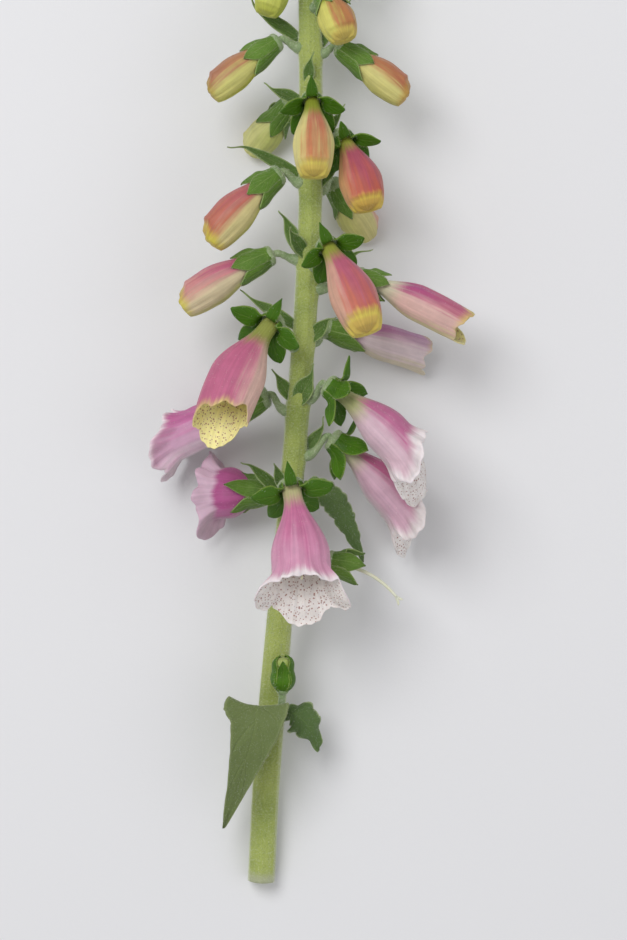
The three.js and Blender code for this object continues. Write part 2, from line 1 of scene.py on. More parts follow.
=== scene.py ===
"""Dresses a foxglove flower spike that was cut near its base and lies on a pale surface.

Lengths are millimetres in the spike's own drawing until a mesh is made: +X to the right, +Y from the cut end
to the tip, +Z up from the surface. Patch.to_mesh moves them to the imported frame, in metres.
"""

from __future__ import annotations

import logging
import math
from dataclasses import dataclass, field
from enum import Enum
from typing import Sequence

import bpy
import numpy as np
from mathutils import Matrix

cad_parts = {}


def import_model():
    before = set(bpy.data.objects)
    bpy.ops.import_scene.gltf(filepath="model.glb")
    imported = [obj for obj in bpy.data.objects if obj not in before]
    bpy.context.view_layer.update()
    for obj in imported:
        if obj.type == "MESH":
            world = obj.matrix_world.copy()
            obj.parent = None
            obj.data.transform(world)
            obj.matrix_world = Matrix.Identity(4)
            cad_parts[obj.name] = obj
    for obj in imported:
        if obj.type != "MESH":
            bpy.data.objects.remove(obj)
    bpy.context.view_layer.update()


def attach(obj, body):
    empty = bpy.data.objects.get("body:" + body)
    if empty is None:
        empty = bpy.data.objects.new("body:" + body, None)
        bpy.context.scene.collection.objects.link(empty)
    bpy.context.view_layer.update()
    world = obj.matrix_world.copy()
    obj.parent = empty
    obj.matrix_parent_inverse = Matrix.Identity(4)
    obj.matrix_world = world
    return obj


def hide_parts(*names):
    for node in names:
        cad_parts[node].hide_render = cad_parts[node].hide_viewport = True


LOG = logging.getLogger("foxglove")
METRES = 0.001
DRAWING_TO_FRAME = np.array((1.94, -187.23, 0.0))  # the frame's origin is the middle of the part's box
BODY = "root"
FACING_UP = (0.0, 0.3, 1.0)
FACING_TIP = (0.0, 1.0, 0.0)
UPWARD = np.array((0.0, 0.0, 1.0))
GOLDEN_ANGLE = 137.5  # degrees from one bract or bud to the next
OPEN_SPREAD = 0.45  # sepals that spread further than this stand open
SOAK_SCALE = 0.0012  # how deep light goes into flesh, in metres
SOAK_RADIUS = (1.0, 0.8, 0.65)
DOWN_ROUGHNESS = 0.45
BALD_BELOW, DOWNY_ABOVE = 0.8, 2.2  # millimetres above the surface that the spike lies on
SKY_STRENGTH = 0.48
RELIEF_STRENGTH = 0.6
FRECKLE_SCALE = 1150.0  # cells to a metre
FRECKLE_BROWN = "8f4234"
HALO_PALE = "f4ede6"

Point = tuple[float, float, float]
Turn = tuple[float, float]
Numbers = np.ndarray | float
Socket = bpy.types.NodeSocket
Sockets = bpy.types.bpy_prop_collection
Tree = bpy.types.NodeTree
Material = bpy.types.Material


# ---- small maths


def unit(vectors: np.ndarray) -> np.ndarray:
    """Vectors scaled to length one."""
    return vectors / np.maximum(np.linalg.norm(vectors, axis=-1, keepdims=True), 1e-9)


def lerp(low: Numbers, high: Numbers, share: Numbers) -> Numbers:
    """The value at a share of the way from low to high."""
    return low + (high - low) * share


def smooth(low: float, high: float, value: Numbers) -> np.ndarray:
    """0 up to low, 1 from high on, and an even S between them."""
    share = np.clip((np.asarray(value, float) - low) / (high - low), 0.0, 1.0)
    return share * share * (3.0 - 2.0 * share)


def lobe(angle: np.ndarray, middle: float, half: float) -> np.ndarray:
    """1 at the middle of a lobe and 0 at its two ends."""
    away = np.abs(angle - middle)
    return np.where(away < half, np.cos(away / half * math.pi / 2) ** 2, 0.0)


def peak(value: np.ndarray, middle: float, width: float) -> np.ndarray:
    """A soft peak of height 1."""
    return np.exp(-(((value - middle) / width) ** 2))


def round_angles(sides: int) -> np.ndarray:
    """Even angles round a circle, in radians."""
    return np.linspace(0, 2 * math.pi, sides, endpoint=False)


def apart(angle: np.ndarray, other: float) -> np.ndarray:
    """How far angles lie from another, in degrees from 0 to 180."""
    return np.abs((angle - other + 180) % 360 - 180)


def through(knots: Sequence[Turn], value: Numbers) -> np.ndarray:
    """A smooth line through a few points.

    Args:
        knots: pairs of place and height, in order.
        value: the places to read.

    Returns:
        The heights there.
    """
    x, y = np.array(knots, float).T
    slope = np.gradient(y, x)
    value = np.clip(np.asarray(value, float), x[0], x[-1])
    i = np.clip(np.searchsorted(x, value, side="right") - 1, 0, len(x) - 2)
    step = x[i + 1] - x[i]
    t = (value - x[i]) / step
    return (
        (2 * t**3 - 3 * t**2 + 1) * y[i]
        + (t**3 - 2 * t**2 + t) * step * slope[i]
        + (3 * t**2 - 2 * t**3) * y[i + 1]
        + (t**3 - t**2) * step * slope[i + 1]
    )


def heading(turn: Turn) -> np.ndarray:
    """The way that something points.

    Args:
        turn: degrees from straight down the stem, and degrees of lift above the surface.

    Returns:
        The unit vector.
    """
    turned, lifted = math.radians(turn[0]), math.radians(turn[1])
    flat = math.cos(lifted)
    return np.array((math.sin(turned) * flat, -math.cos(turned) * flat, math.sin(lifted)))


def cross_frame(axis: np.ndarray, wanted: np.ndarray) -> tuple[np.ndarray, np.ndarray]:
    """Two unit vectors square to an axis.

    Args:
        axis: the unit vectors of the axis.
        wanted: where the first of the two should look, as near as can be.

    Returns:
        The one nearest to the wanted way, and the one to its side.
    """
    top = unit(wanted - np.sum(wanted * axis, -1, keepdims=True) * axis)
    return top, np.cross(axis, top)


@dataclass(frozen=True)
class SmoothLine:
    """A centripetal spline through points."""

    knots: tuple[Point, ...]

    def at(self, share: Numbers) -> np.ndarray:
        """The points at shares of the line's parameter."""
        knots = np.array(self.knots, float)
        ends = np.vstack([2 * knots[0] - knots[1], knots, 2 * knots[-1] - knots[-2]])
        place = np.clip(np.asarray(share, float), 0, 1) * (len(knots) - 1)
        i = np.minimum(place.astype(int), len(knots) - 2)
        w = (place - i)[..., None]
        p0, p1, p2, p3 = (ends[i + j] for j in range(4))
        d0, d1, d2 = (
            np.sqrt(np.linalg.norm(b - a, axis=-1, keepdims=True)) for a, b in ((p0, p1), (p1, p2), (p2, p3))
        )
        t1 = ((p1 - p0) / d0 - (p2 - p0) / (d0 + d1) + (p2 - p1) / d1) * d1
        t2 = ((p2 - p1) / d1 - (p3 - p1) / (d1 + d2) + (p3 - p2) / d2) * d1
        square, cube = -3 * p1 + 3 * p2 - 2 * t1 - t2, 2 * p1 - 2 * p2 + t1 + t2
        return p1 + t1 * w + square * w**2 + cube * w**3

    def tangent(self, share: Numbers) -> np.ndarray:
        """The unit vectors along the line at shares of its parameter."""
        step = 1e-4
        share = np.asarray(share, float)
        return unit(self.at(share + step) - self.at(share - step))


# ---- surfaces


@dataclass
class Patch:
    """A surface before it becomes a mesh.

    Attributes:
        points: millimetres, in the drawing.
        faces: indices of each face's points, outward by the right hand.
        place: three numbers that say where a point is on its own piece, for the patterns.
        side: 0 on a piece's outer or upper face and 1 on the other.
        fuzz: how thickly hairs grow, from 0 to 1.
    """

    points: np.ndarray
    faces: list[tuple[int, ...]]
    place: np.ndarray
    side: np.ndarray
    fuzz: np.ndarray

    def on_surface(self, lowest: Numbers = 0.0) -> Patch:
        """Flattens what would go below the surface that the spike lies on, and thins the hairs near it.

        Args:
            lowest: how low each point may be, in millimetres above that surface.

        Returns:
            The same patch.
        """
        self.points[:, 2] = np.maximum(self.points[:, 2], lowest)
        self.fuzz = self.fuzz * smooth(BALD_BELOW, DOWNY_ABOVE, self.points[:, 2])
        return self

    def to_mesh(self, name: str) -> bpy.types.Mesh:
        """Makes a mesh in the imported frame, with the patterns' attributes.

        Args:
            name: the mesh's name.

        Returns:
            The Blender mesh.
        """
        mesh = bpy.data.meshes.new(name)
        mesh.from_pydata(((self.points + DRAWING_TO_FRAME) * METRES).tolist(), [], self.faces)
        mesh.polygons.foreach_set("use_smooth", [True] * len(mesh.polygons))
        place = mesh.attributes.new("place", "FLOAT_VECTOR", "POINT")
        place.data.foreach_set("vector", self.place.astype(np.float32).ravel())
        for kind, values in (("side", self.side), ("fuzz", self.fuzz)):
            mesh.attributes.new(kind, "FLOAT", "POINT").data.foreach_set("value", values.astype(np.float32))
        mesh.validate()
        mesh.update()
        return mesh


def join(patches: Sequence[Patch]) -> Patch:
    """Puts patches together.

    Args:
        patches: the patches, in order.

    Returns:
        One patch of them all.
    """
    first, faces = 0, []
    for patch in patches:
        faces += [tuple(i + first for i in face) for face in patch.faces]
        first += len(patch.points)
    return Patch(
        np.concatenate([p.points for p in patches]),
        faces,
        np.concatenate([p.place for p in patches]),
        np.concatenate([p.side for p in patches]),
        np.concatenate([p.fuzz for p in patches]),
    )


def quads(rows: int, columns: int, closed: bool) -> np.ndarray:
    """The faces of a grid of points.

    Args:
        rows, columns: the grid's size.
        closed: whether its rows are closed rings.

    Returns:
        The four corners' indices of every face.
    """
    i, j = np.meshgrid(np.arange(rows - 1), np.arange(columns if closed else columns - 1), indexing="ij")
    k = (j + 1) % columns
    corners = (i * columns + j, i * columns + k, (i + 1) * columns + k, (i + 1) * columns + j)
    return np.stack(corners, -1).reshape(-1, 4)


def loft(rings: np.ndarray, place: np.ndarray, side: np.ndarray, fuzz: np.ndarray) -> Patch:
    """A closed skin over rings of points, with a fan at both ends.

    Args:
        rings: points, by ring and by place round it.
        place: the patterns' place of every point.
        side: one value for every ring.
        fuzz: one value for every ring.

    Returns:
        The patch.
    """
    count, sides = rings.shape[:2]
    middles = rings[[0, -1]].mean(1)
    far = place[[0, -1]].mean(1)
    faces = [tuple(f) for f in quads(count, sides, True).tolist()]
    low, high = count * sides, count * sides + 1
    last = (count - 1) * sides
    for j in range(sides):
        k = (j + 1) % sides
        faces += [(k, j, low), (last + j, last + k, high)]
    spread = np.repeat(side, sides), np.repeat(fuzz, sides)
    return Patch(
        np.concatenate([rings.reshape(-1, 3), middles]),
        faces,
        np.concatenate([place.reshape(-1, 3), far]),
        np.append(spread[0], side[[0, -1]]),
        np.append(spread[1], [0.0, 0.0]),
    )


def ring_place(turn: np.ndarray, along: np.ndarray) -> np.ndarray:
    """The patterns' place on rings: the cosine and sine of the turn, and how far along a ring lies."""
    return np.stack(np.broadcast_arrays(np.cos(turn)[None], np.sin(turn)[None], along[:, None]), -1)


def blade_place(across: np.ndarray, along: np.ndarray, own: float) -> np.ndarray:
    """The patterns' place on a blade: across from -1 to 1, along from 0 to 1, and the blade's own number."""
    return np.stack(np.broadcast_arrays(across[None], along[:, None], own), -1)


def round_rings(
    centres: np.ndarray, along: np.ndarray, radii: np.ndarray, sides: int, wanted: np.ndarray
) -> tuple[np.ndarray, np.ndarray]:
    """Rings of points square to a line.

    Args:
        centres: the line's points.
        along: the line's unit tangents there.
        radii: the radius there, or the radius by ring and by place round it.
        sides: how many points a ring has.
        wanted: where each ring's first point looks.

    Returns:
        The points, and for each its cosine, its sine and its share of the line.
    """
    top, side = cross_frame(along, wanted)
    angle = round_angles(sides)
    radii = np.broadcast_to(np.asarray(radii, float).reshape(len(centres), -1), (len(centres), sides))
    ways = top[:, None] * np.cos(angle)[None, :, None] + side[:, None] * np.sin(angle)[None, :, None]
    return centres[:, None] + ways * radii[..., None], ring_place(angle, np.linspace(0, 1, len(centres)))


def tube(centres: np.ndarray, radii: np.ndarray, sides: int, fuzz: float = 0.0, side: float = 0.0) -> Patch:
    """A round tube along points.

    Args:
        centres: the points.
        radii: its radius at each.
        sides: how many points a ring has.
        fuzz, side: the same all along it, as a patch has them.

    Returns:
        The patch.
    """
    along = unit(np.gradient(centres, axis=0))
    rings, place = round_rings(centres, along, radii, sides, np.array(FACING_UP))
    count = len(centres)
    return loft(rings, place, np.full(count, side), np.full(count, fuzz))


def facing(grid: np.ndarray, closed: bool = False) -> np.ndarray:
    """The unit normals of a grid of points.

    Args:
        grid: the points, by row and column.
        closed: whether its rows are closed rings.

    Returns:
        The normals: outward on rings, and across times along on a blade.
    """
    along = np.gradient(grid, axis=0)
    across = np.roll(grid, -1, 1) - np.roll(grid, 1, 1) if closed else np.gradient(grid, axis=1)
    return unit(np.cross(across, along))


def sheet(
    grid: np.ndarray, thickness: float, place: np.ndarray, fuzz: np.ndarray, relief: np.ndarray
) -> Patch:
    """A thin blade with a rounded rim.

    Args:
        grid: points of its middle surface, by row and column.
        thickness: its thickness.
        place: the patterns' place of every point.
        fuzz: how thickly hairs grow at every point.
        relief: how far each point's two faces are pushed towards its outer side, for veins and folds.

    Returns:
        The patch, whose side is 0 on the face across times along.
    """
    rows, columns = grid.shape[:2]
    normal = facing(grid)
    grid = grid + normal * relief[..., None]
    skins = [grid + normal * thickness * way for way in (0.5, -0.5)]
    size = rows * columns
    index = np.arange(size).reshape(rows, columns)
    loop = np.concatenate([index[0, :-1], index[:-1, -1], index[-1, :0:-1], index[:0:-1, 0]])
    inner = np.clip(loop // columns, 1, rows - 2) * columns + np.clip(loop % columns, 1, columns - 2)
    flat = grid.reshape(-1, 3)
    rim = flat[loop] + unit(flat[loop] - flat[inner]) * thickness * 0.35
    top = quads(rows, columns, False)
    faces = top.tolist() + (top[:, ::-1] + size).tolist()
    ring = np.arange(len(loop)) + 2 * size
    after = np.roll(np.arange(len(loop)), -1)
    faces += np.stack([loop, ring, ring[after], loop[after]], -1).tolist()
    faces += np.stack([ring, loop + size, loop[after] + size, ring[after]], -1).tolist()
    flat_place, flat_fuzz = place.reshape(-1, 3), fuzz.ravel()
    return Patch(
        np.concatenate([skins[0].reshape(-1, 3), skins[1].reshape(-1, 3), rim]),
        [tuple(f) for f in faces],
        np.concatenate([flat_place, flat_place, flat_place[loop]]),
        np.concatenate([np.zeros(size), np.ones(size), np.full(len(loop), 0.5)]),
        np.concatenate([flat_fuzz, flat_fuzz, flat_fuzz[loop]]),
    )


# ---- node wiring


class Wiring:
    """Adds nodes to one tree and joins their sockets."""

    def __init__(self, tree: Tree) -> None:
        """Starts with an empty tree."""
        self.tree = tree
        tree.nodes.clear()

    def add(self, kind: str, wires: dict | None = None, **settings: object) -> bpy.types.Node:
        """Adds a node.

        Args:
            kind: the node's type.
            wires: values and output sockets for its inputs, by name or number.
            settings: values of the node's own properties.

        Returns:
            The node.
        """
        node = self.tree.nodes.new(kind)
        for name, value in settings.items():
            setattr(node, name, value)
        for key, value in (wires or {}).items():
            if isinstance(value, Socket):
                self.tree.links.new(value, node.inputs[key])
            else:
                node.inputs[key].default_value = value
        return node

    def maths(self, operation: str, a: object, b: object = 0.0, clamp: bool = False) -> Socket:
        """The result of a Math node."""
        return self.add("ShaderNodeMath", {0: a, 1: b}, operation=operation, use_clamp=clamp).outputs[0]

    def times(self, a: object, b: object) -> Socket:
        """a times b."""
        return self.maths("MULTIPLY", a, b)

    def plus(self, a: object, b: object) -> Socket:
        """a plus b."""
        return self.maths("ADD", a, b)

    def minus(self, a: object, b: object) -> Socket:
        """a minus b."""
        return self.maths("SUBTRACT", a, b)

    def mix(self, share: object, a: object, b: object, blend: str = "MIX") -> Socket:
        """The colour at a share of the way from a to b."""
        wires = {0: share, 6: a, 7: b}
        return self.add("ShaderNodeMix", wires, data_type="RGBA", blend_type=blend).outputs[2]

    def tint(self, colour: object, by: object) -> Socket:
        """A colour made lighter or darker by a value near 1."""
        grey = self.add("ShaderNodeCombineColor", {0: by, 1: by, 2: by}).outputs[0]
        return self.mix(1.0, colour, grey, "MULTIPLY")

    def rise(
        self, value: object, low: object, high: object, start: float = 0.0, end: float = 1.0
    ) -> Socket:
        """An even S from start to end as the value goes from low to high."""
        wires = {0: value, 1: low, 2: high, 3: start, 4: end}
        return self.add("ShaderNodeMapRange", wires, interpolation_type="SMOOTHSTEP").outputs[0]

    def noise(self, where: object, scale: object, detail: float = 3.0) -> Socket:
        """Soft noise from 0 to 1."""
        return self.add("ShaderNodeTexNoise", {"Vector": where, "Scale": scale, "Detail": detail}).outputs[0]

    def cells(self, where: object, scale: object, feature: str = "F1") -> Sockets:
        """What a pattern of cells puts out."""
        return self.add("ShaderNodeTexVoronoi", {"Vector": where, "Scale": scale}, feature=feature).outputs

    def group(self, tree: Tree, wires: dict) -> Sockets:
        """Places a node group with its own values, and gives what it puts out."""
        return self.add("ShaderNodeGroup", wires, node_tree=tree).outputs

    def put_out(self, result: dict, values: dict) -> None:
        """Joins a group's values to the sockets that it puts them out by."""
        for name, value in values.items():
            self.tree.links.new(value, result[name])

    def place(self) -> tuple[Socket, ...]:
        """The three numbers of the place attribute, and the side."""
        where = self.add("ShaderNodeAttribute", attribute_name="place")
        parts = self.add("ShaderNodeSeparateXYZ", {0: where.outputs["Vector"]})
        side = self.add("ShaderNodeAttribute", attribute_name="side")
        return (*parts.outputs, side.outputs["Fac"])

    def stretch(self, parts: Sequence[object], by: Point) -> Socket:
        """A vector of three values, each stretched by its own amount."""
        scaled = {i: self.times(part, amount) for i, (part, amount) in enumerate(zip(parts, by))}
        return self.add("ShaderNodeCombineXYZ", scaled).outputs[0]


def shader_group(name: str, inputs: dict[str, str], outputs: dict[str, str]) -> tuple[Wiring, dict, dict]:
    """Starts a shader node group.

    Args:
        name: the group's name.
        inputs: socket types by name, such as Color, Float or Vector.
        outputs: the same for what it puts out.

    Returns:
        Its wiring, its input sockets by name, and its output node's sockets by name.
    """
    tree = bpy.data.node_groups.new(name, "ShaderNodeTree")
    for way, sockets in (("INPUT", inputs), ("OUTPUT", outputs)):
        for socket, kind in sockets.items():
            tree.interface.new_socket(name=socket, in_out=way, socket_type=f"NodeSocket{kind}")
    wiring = Wiring(tree)
    given = wiring.add("NodeGroupInput")
    result = wiring.add("NodeGroupOutput")
    return wiring, dict(given.outputs.items()), dict(result.inputs.items())


def linear(hex_colour: str) -> tuple[float, float, float, float]:
    """A colour written as RRGGBB, as linear numbers for a shader."""
    parts = [int(hex_colour[i : i + 2], 16) / 255 for i in (0, 2, 4)]
    return (*(c / 12.92 if c <= 0.04045 else ((c + 0.055) / 1.055) ** 2.4 for c in parts), 1.0)


# ---- finishes


class Groups:
    """The node groups that several finishes share."""

    def __init__(self) -> None:
        """Builds every group once."""
        self.petal = self._petal()
        self.spots = self._spots()
        self.flesh = self._flesh()
        self.veins = self._veins()

    def _petal(self) -> Tree:
        """A corolla's colours: crown above, flank, belly, neck, lip edge, folded face and inside."""
        colours = ("Crown", "Crown Tip", "Flank", "Belly", "Neck", "Edge", "Face", "Inside")
        inputs = {c: "Color" for c in colours}
        values = (
            "Crown From", "Crown To", "Turn Along", "Turn Aside", "Neck End", "Edge Start", "Face Start",
        )
        inputs |= {v: "Float" for v in values} | {"Object": "Vector"}
        w, given, result = shader_group("petal colours", inputs, {"Color": "Color", "Streaks": "Float"})
        up, across, along, side = w.place()
        broad = w.noise(w.stretch((up, across, along), (2.2, 2.2, 1.1)), 1.6, 2.0)
        streaks = w.noise(w.stretch((up, across, along), (5.0, 5.0, 0.7)), 1.5, 5.0)
        blotch = w.noise(given["Object"], 260.0, 3.0)
        sway = w.plus(w.times(w.minus(broad, 0.5), 0.8), w.times(w.minus(streaks, 0.5), 0.8))
        turned = w.plus(w.times(up, given["Turn Along"]), w.times(across, given["Turn Aside"]))
        above = w.plus(turned, sway)
        crown = w.mix(w.rise(w.plus(along, sway), 0.3, 0.9), given["Crown"], given["Crown Tip"])
        colour = w.mix(w.rise(above, given["Crown From"], given["Crown To"]), given["Flank"], crown)
        colour = w.mix(w.rise(above, -0.25, -0.95), colour, given["Belly"])
        reach = w.plus(along, w.times(sway, 0.14))
        past_neck = w.minus(reach, given["Neck End"])
        colour = w.mix(w.rise(past_neck, 0.1, -0.12), colour, given["Neck"])
        low_side = w.times(w.minus(1.0, turned), 0.045)
        past_edge = w.minus(w.minus(reach, given["Edge Start"]), low_side)
        colour = w.mix(w.rise(past_edge, -0.05, 0.08), colour, given["Edge"])
        face = w.times(w.rise(w.minus(along, given["Face Start"]), -0.02, 0.03),
                       w.rise(w.plus(up, sway), 0.2, 0.8, 0.0, 0.4))
        colour = w.mix(face, colour, given["Face"])
        colour = w.mix(w.rise(side, 0.35, 0.75), colour, given["Inside"])
        bend = w.times(w.noise(w.stretch((up, across, along), (1.5, 1.5, 2.5)), 1.5, 2.0), 6.0)
        ribs = w.maths("SINE", w.plus(bend, w.times(w.maths("ARCTAN2", across, up), 17.0)))
        colour = w.tint(colour, w.rise(ribs, 0.2, 1.0, 1.015, 0.95))
        colour = w.tint(colour, w.rise(streaks, 0.25, 0.75, 0.9, 1.06))
        colour = w.tint(colour, w.rise(blotch, 0.3, 0.7, 0.95, 1.04))
        w.put_out(result, {"Color": colour, "Streaks": streaks})
        return w.tree

    def _spots(self) -> Tree:
        """Small dark freckles with pale haloes in a corolla's throat and on its lower lip."""
        w, given, result = shader_group(
            "throat freckles", {"Object": "Vector", "Amount": "Float", "Scale": "Float"},
            {"Freckle": "Float", "Halo": "Float"})
        up, _, along, side = w.place()
        cells = w.cells(given["Object"], given["Scale"])
        chance = w.add("ShaderNodeSeparateColor", {0: cells["Color"]})
        size = w.rise(chance.outputs[0], 0.0, 1.0, 0.2, 0.36)
        near = w.minus(cells["Distance"], size)
        region = w.times(w.rise(side, 0.6, 0.95), w.rise(up, 0.75, 0.1))
        region = w.times(region, w.rise(along, 0.3, 0.6))
        region = w.times(region, w.rise(along, 1.0, 0.94, 0.2, 1.0))
        kept = w.rise(w.minus(w.times(region, given["Amount"]), chance.outputs[1]), 0.0, 0.05)
        w.put_out(result, {"Freckle": w.times(w.rise(near, 0.04, -0.05), kept),
                           "Halo": w.times(w.rise(near, 0.3, 0.02), kept)})
        return w.tree

    def _flesh(self) -> Tree:
        """Green flesh: two greens in soft patches, with fine pale and dark grains."""
        w, given, result = shader_group(
            "green flesh", {"Object": "Vector", "Green": "Color", "Deep": "Color", "Pale": "Color",
                            "Patch Scale": "Float", "Grain Scale": "Float", "Grain": "Float"},
            {"Color": "Color", "Height": "Float"})
        patches = w.noise(given["Object"], given["Patch Scale"])
        grains = w.cells(given["Object"], given["Grain Scale"])
        dust = w.noise(given["Object"], given["Grain Scale"], 2.0)
        colour = w.mix(w.rise(patches, 0.35, 0.7, 0.0, 0.7), given["Green"], given["Deep"])
        dots = w.times(w.rise(grains["Distance"], 0.34, 0.14), given["Grain"])
        colour = w.mix(dots, colour, given["Deep"])
        colour = w.mix(w.times(w.rise(dust, 0.5, 0.78), given["Grain"]), colour, given["Pale"])
        w.put_out(result, {"Color": colour, "Height": w.minus(dust, w.times(dots, 0.4))})
        return w.tree

    def _veins(self) -> Tree:
        """A blade's midrib, side veins that sweep to its tip, its net between them, and its margin."""
        w, given, result = shader_group(
            "blade veins", {"Object": "Vector", "Pairs": "Float", "Sweep": "Float", "Net Scale": "Float",
                            "Net": "Float"},
            {"Vein": "Float", "Margin": "Float", "Height": "Float"})
        across, along, _, _ = w.place()
        away = w.maths("ABSOLUTE", across)
        midrib = w.rise(away, 0.1, 0.015)
        phase = w.minus(w.times(along, given["Pairs"]), w.times(away, given["Sweep"]))
        near = w.maths("ABSOLUTE", w.minus(w.maths("FRACT", phase), 0.5))
        side_veins = w.times(w.rise(near, 0.12, 0.02), w.rise(away, 1.0, 0.75))
        cells = w.cells(given["Object"], given["Net Scale"], "DISTANCE_TO_EDGE")["Distance"]
        net = w.times(w.rise(cells, 0.1, 0.02), given["Net"])
        ribs = w.maths("MAXIMUM", midrib, w.times(side_veins, 0.75))
        vein = w.maths("MAXIMUM", ribs, w.times(net, 0.5))
        margin = w.rise(away, 0.88, 0.99)
        w.put_out(result, {"Vein": vein, "Margin": margin, "Height": w.minus(1.0, vein)})
        return w.tree


@dataclass(frozen=True)
class Surface:
    """The plain numbers of a finish's shader, which are the same all over it.

    Attributes:
        soak: how much light goes into it. down, down_tint: how much fine down shows, and its colour.
        gloss: how strongly it shines.
    """

    soak: float = 0.0
    down: float = 0.0
    down_tint: str = "ffffff"
    gloss: float = 0.35

    def shader(self, w: Wiring) -> bpy.types.Node:
        """Adds the shader to a material's wiring."""
        wires = {
            "Subsurface Weight": self.soak,
            "Subsurface Scale": SOAK_SCALE,
            "Subsurface Radius": SOAK_RADIUS,
            "Sheen Weight": self.down,
            "Sheen Roughness": DOWN_ROUGHNESS,
            "Sheen Tint": linear(self.down_tint),
            "Specular IOR Level": self.gloss,
        }
        return w.add("ShaderNodeBsdfPrincipled", wires)


def start_material(name: str, surface: Surface) -> tuple[Wiring, bpy.types.Node, Socket]:
    """Starts a material.

    Args:
        name: the material's name.
        surface: its plain numbers.

    Returns:
        Its wiring, its shader and the Object coordinates.
    """
    material = bpy.data.materials.new(name)
    material.use_nodes = True
    w = Wiring(material.node_tree)
    shader = surface.shader(w)
    w.add("ShaderNodeOutputMaterial", {"Surface": shader.outputs[0]})
    return w, shader, w.add("ShaderNodeTexCoord").outputs["Object"]


def finish_surface(
    w: Wiring, shader: bpy.types.Node, colour: object, height: object, roughness: object, depth: float
) -> None:
    """Joins a material's colour, relief and roughness to its shader.

    Args:
        w: the material's wiring.
        shader: its shader.
        colour, height, roughness: the sockets that give them.
        depth: how deep the relief is, in metres.
    """
    w.tree.links.new(colour, shader.inputs["Base Color"])
    w.tree.links.new(roughness, shader.inputs["Roughness"])
    bump = w.add("ShaderNodeBump", {"Height": height, "Strength": RELIEF_STRENGTH, "Distance": depth})
    w.tree.links.new(bump.outputs[0], shader.inputs["Normal"])


@dataclass(frozen=True)
class PetalFinish:
    """How one corolla is coloured. Colours are written RRGGBB.

    Attributes:
        crown: the upper side's colour. flank, belly: the sides' and the lower side's.
        neck, edge, face, inside: the neck's, the lip's or bud's end's, its folded face's and the throat's.
        crown_span: how far round the crown's colour reaches, as cosines where it starts and is full.
        crown_turn: how far the crown's colour is turned from the upper side, in degrees.
        crown_tip: what the crown's colour becomes towards the mouth, where it changes.
        neck_end, edge_start, face_start: places along the corolla, from 0 to 1.
        freckles: how many freckles its throat has, from 0 to 1.
    """

    crown: str
    flank: str
    belly: str
    neck: str
    edge: str
    face: str
    inside: str
    crown_span: Turn = (-0.1, 0.75)
    neck_end: float = 0.2
    edge_start: float = 0.9
    face_start: float = 2.0
    freckles: float = 0.0
    crown_turn: float = 0.0
    crown_tip: str = ""

    def dress(self, name: str, groups: Groups) -> Material:
        """The material of a corolla."""
        w, shader, where = start_material(name, Surface(soak=0.12, down=0.06, gloss=0.28))
        colours = {part.title(): linear(getattr(self, part))
                   for part in ("crown", "flank", "belly", "neck", "edge", "face", "inside")}
        colours["Crown Tip"] = linear(self.crown_tip or self.crown)
        turn = math.radians(self.crown_turn)
        values = {"Crown From": self.crown_span[0], "Crown To": self.crown_span[1],
                  "Turn Along": math.cos(turn), "Turn Aside": math.sin(turn),
                  "Neck End": self.neck_end, "Edge Start": self.edge_start, "Face Start": self.face_start}
        painted = w.group(groups.petal, colours | values | {"Object": where})
        freckles = w.group(groups.spots, {"Object": where, "Amount": self.freckles, "Scale": FRECKLE_SCALE})
        colour = w.mix(w.times(freckles["Halo"], 0.2), painted["Color"], linear(HALO_PALE))
        colour = w.mix(w.times(freckles["Freckle"], 0.8), colour, linear(FRECKLE_BROWN))
        fine = w.noise(where, 2600.0, 2.0)
        height = w.plus(painted["Streaks"], w.times(fine, 0.25))
        finish_surface(w, shader, colour, height, w.rise(painted["Streaks"], 0.2, 0.8, 0.44, 0.6), 0.0004)
        return bpy.data.materials[name]


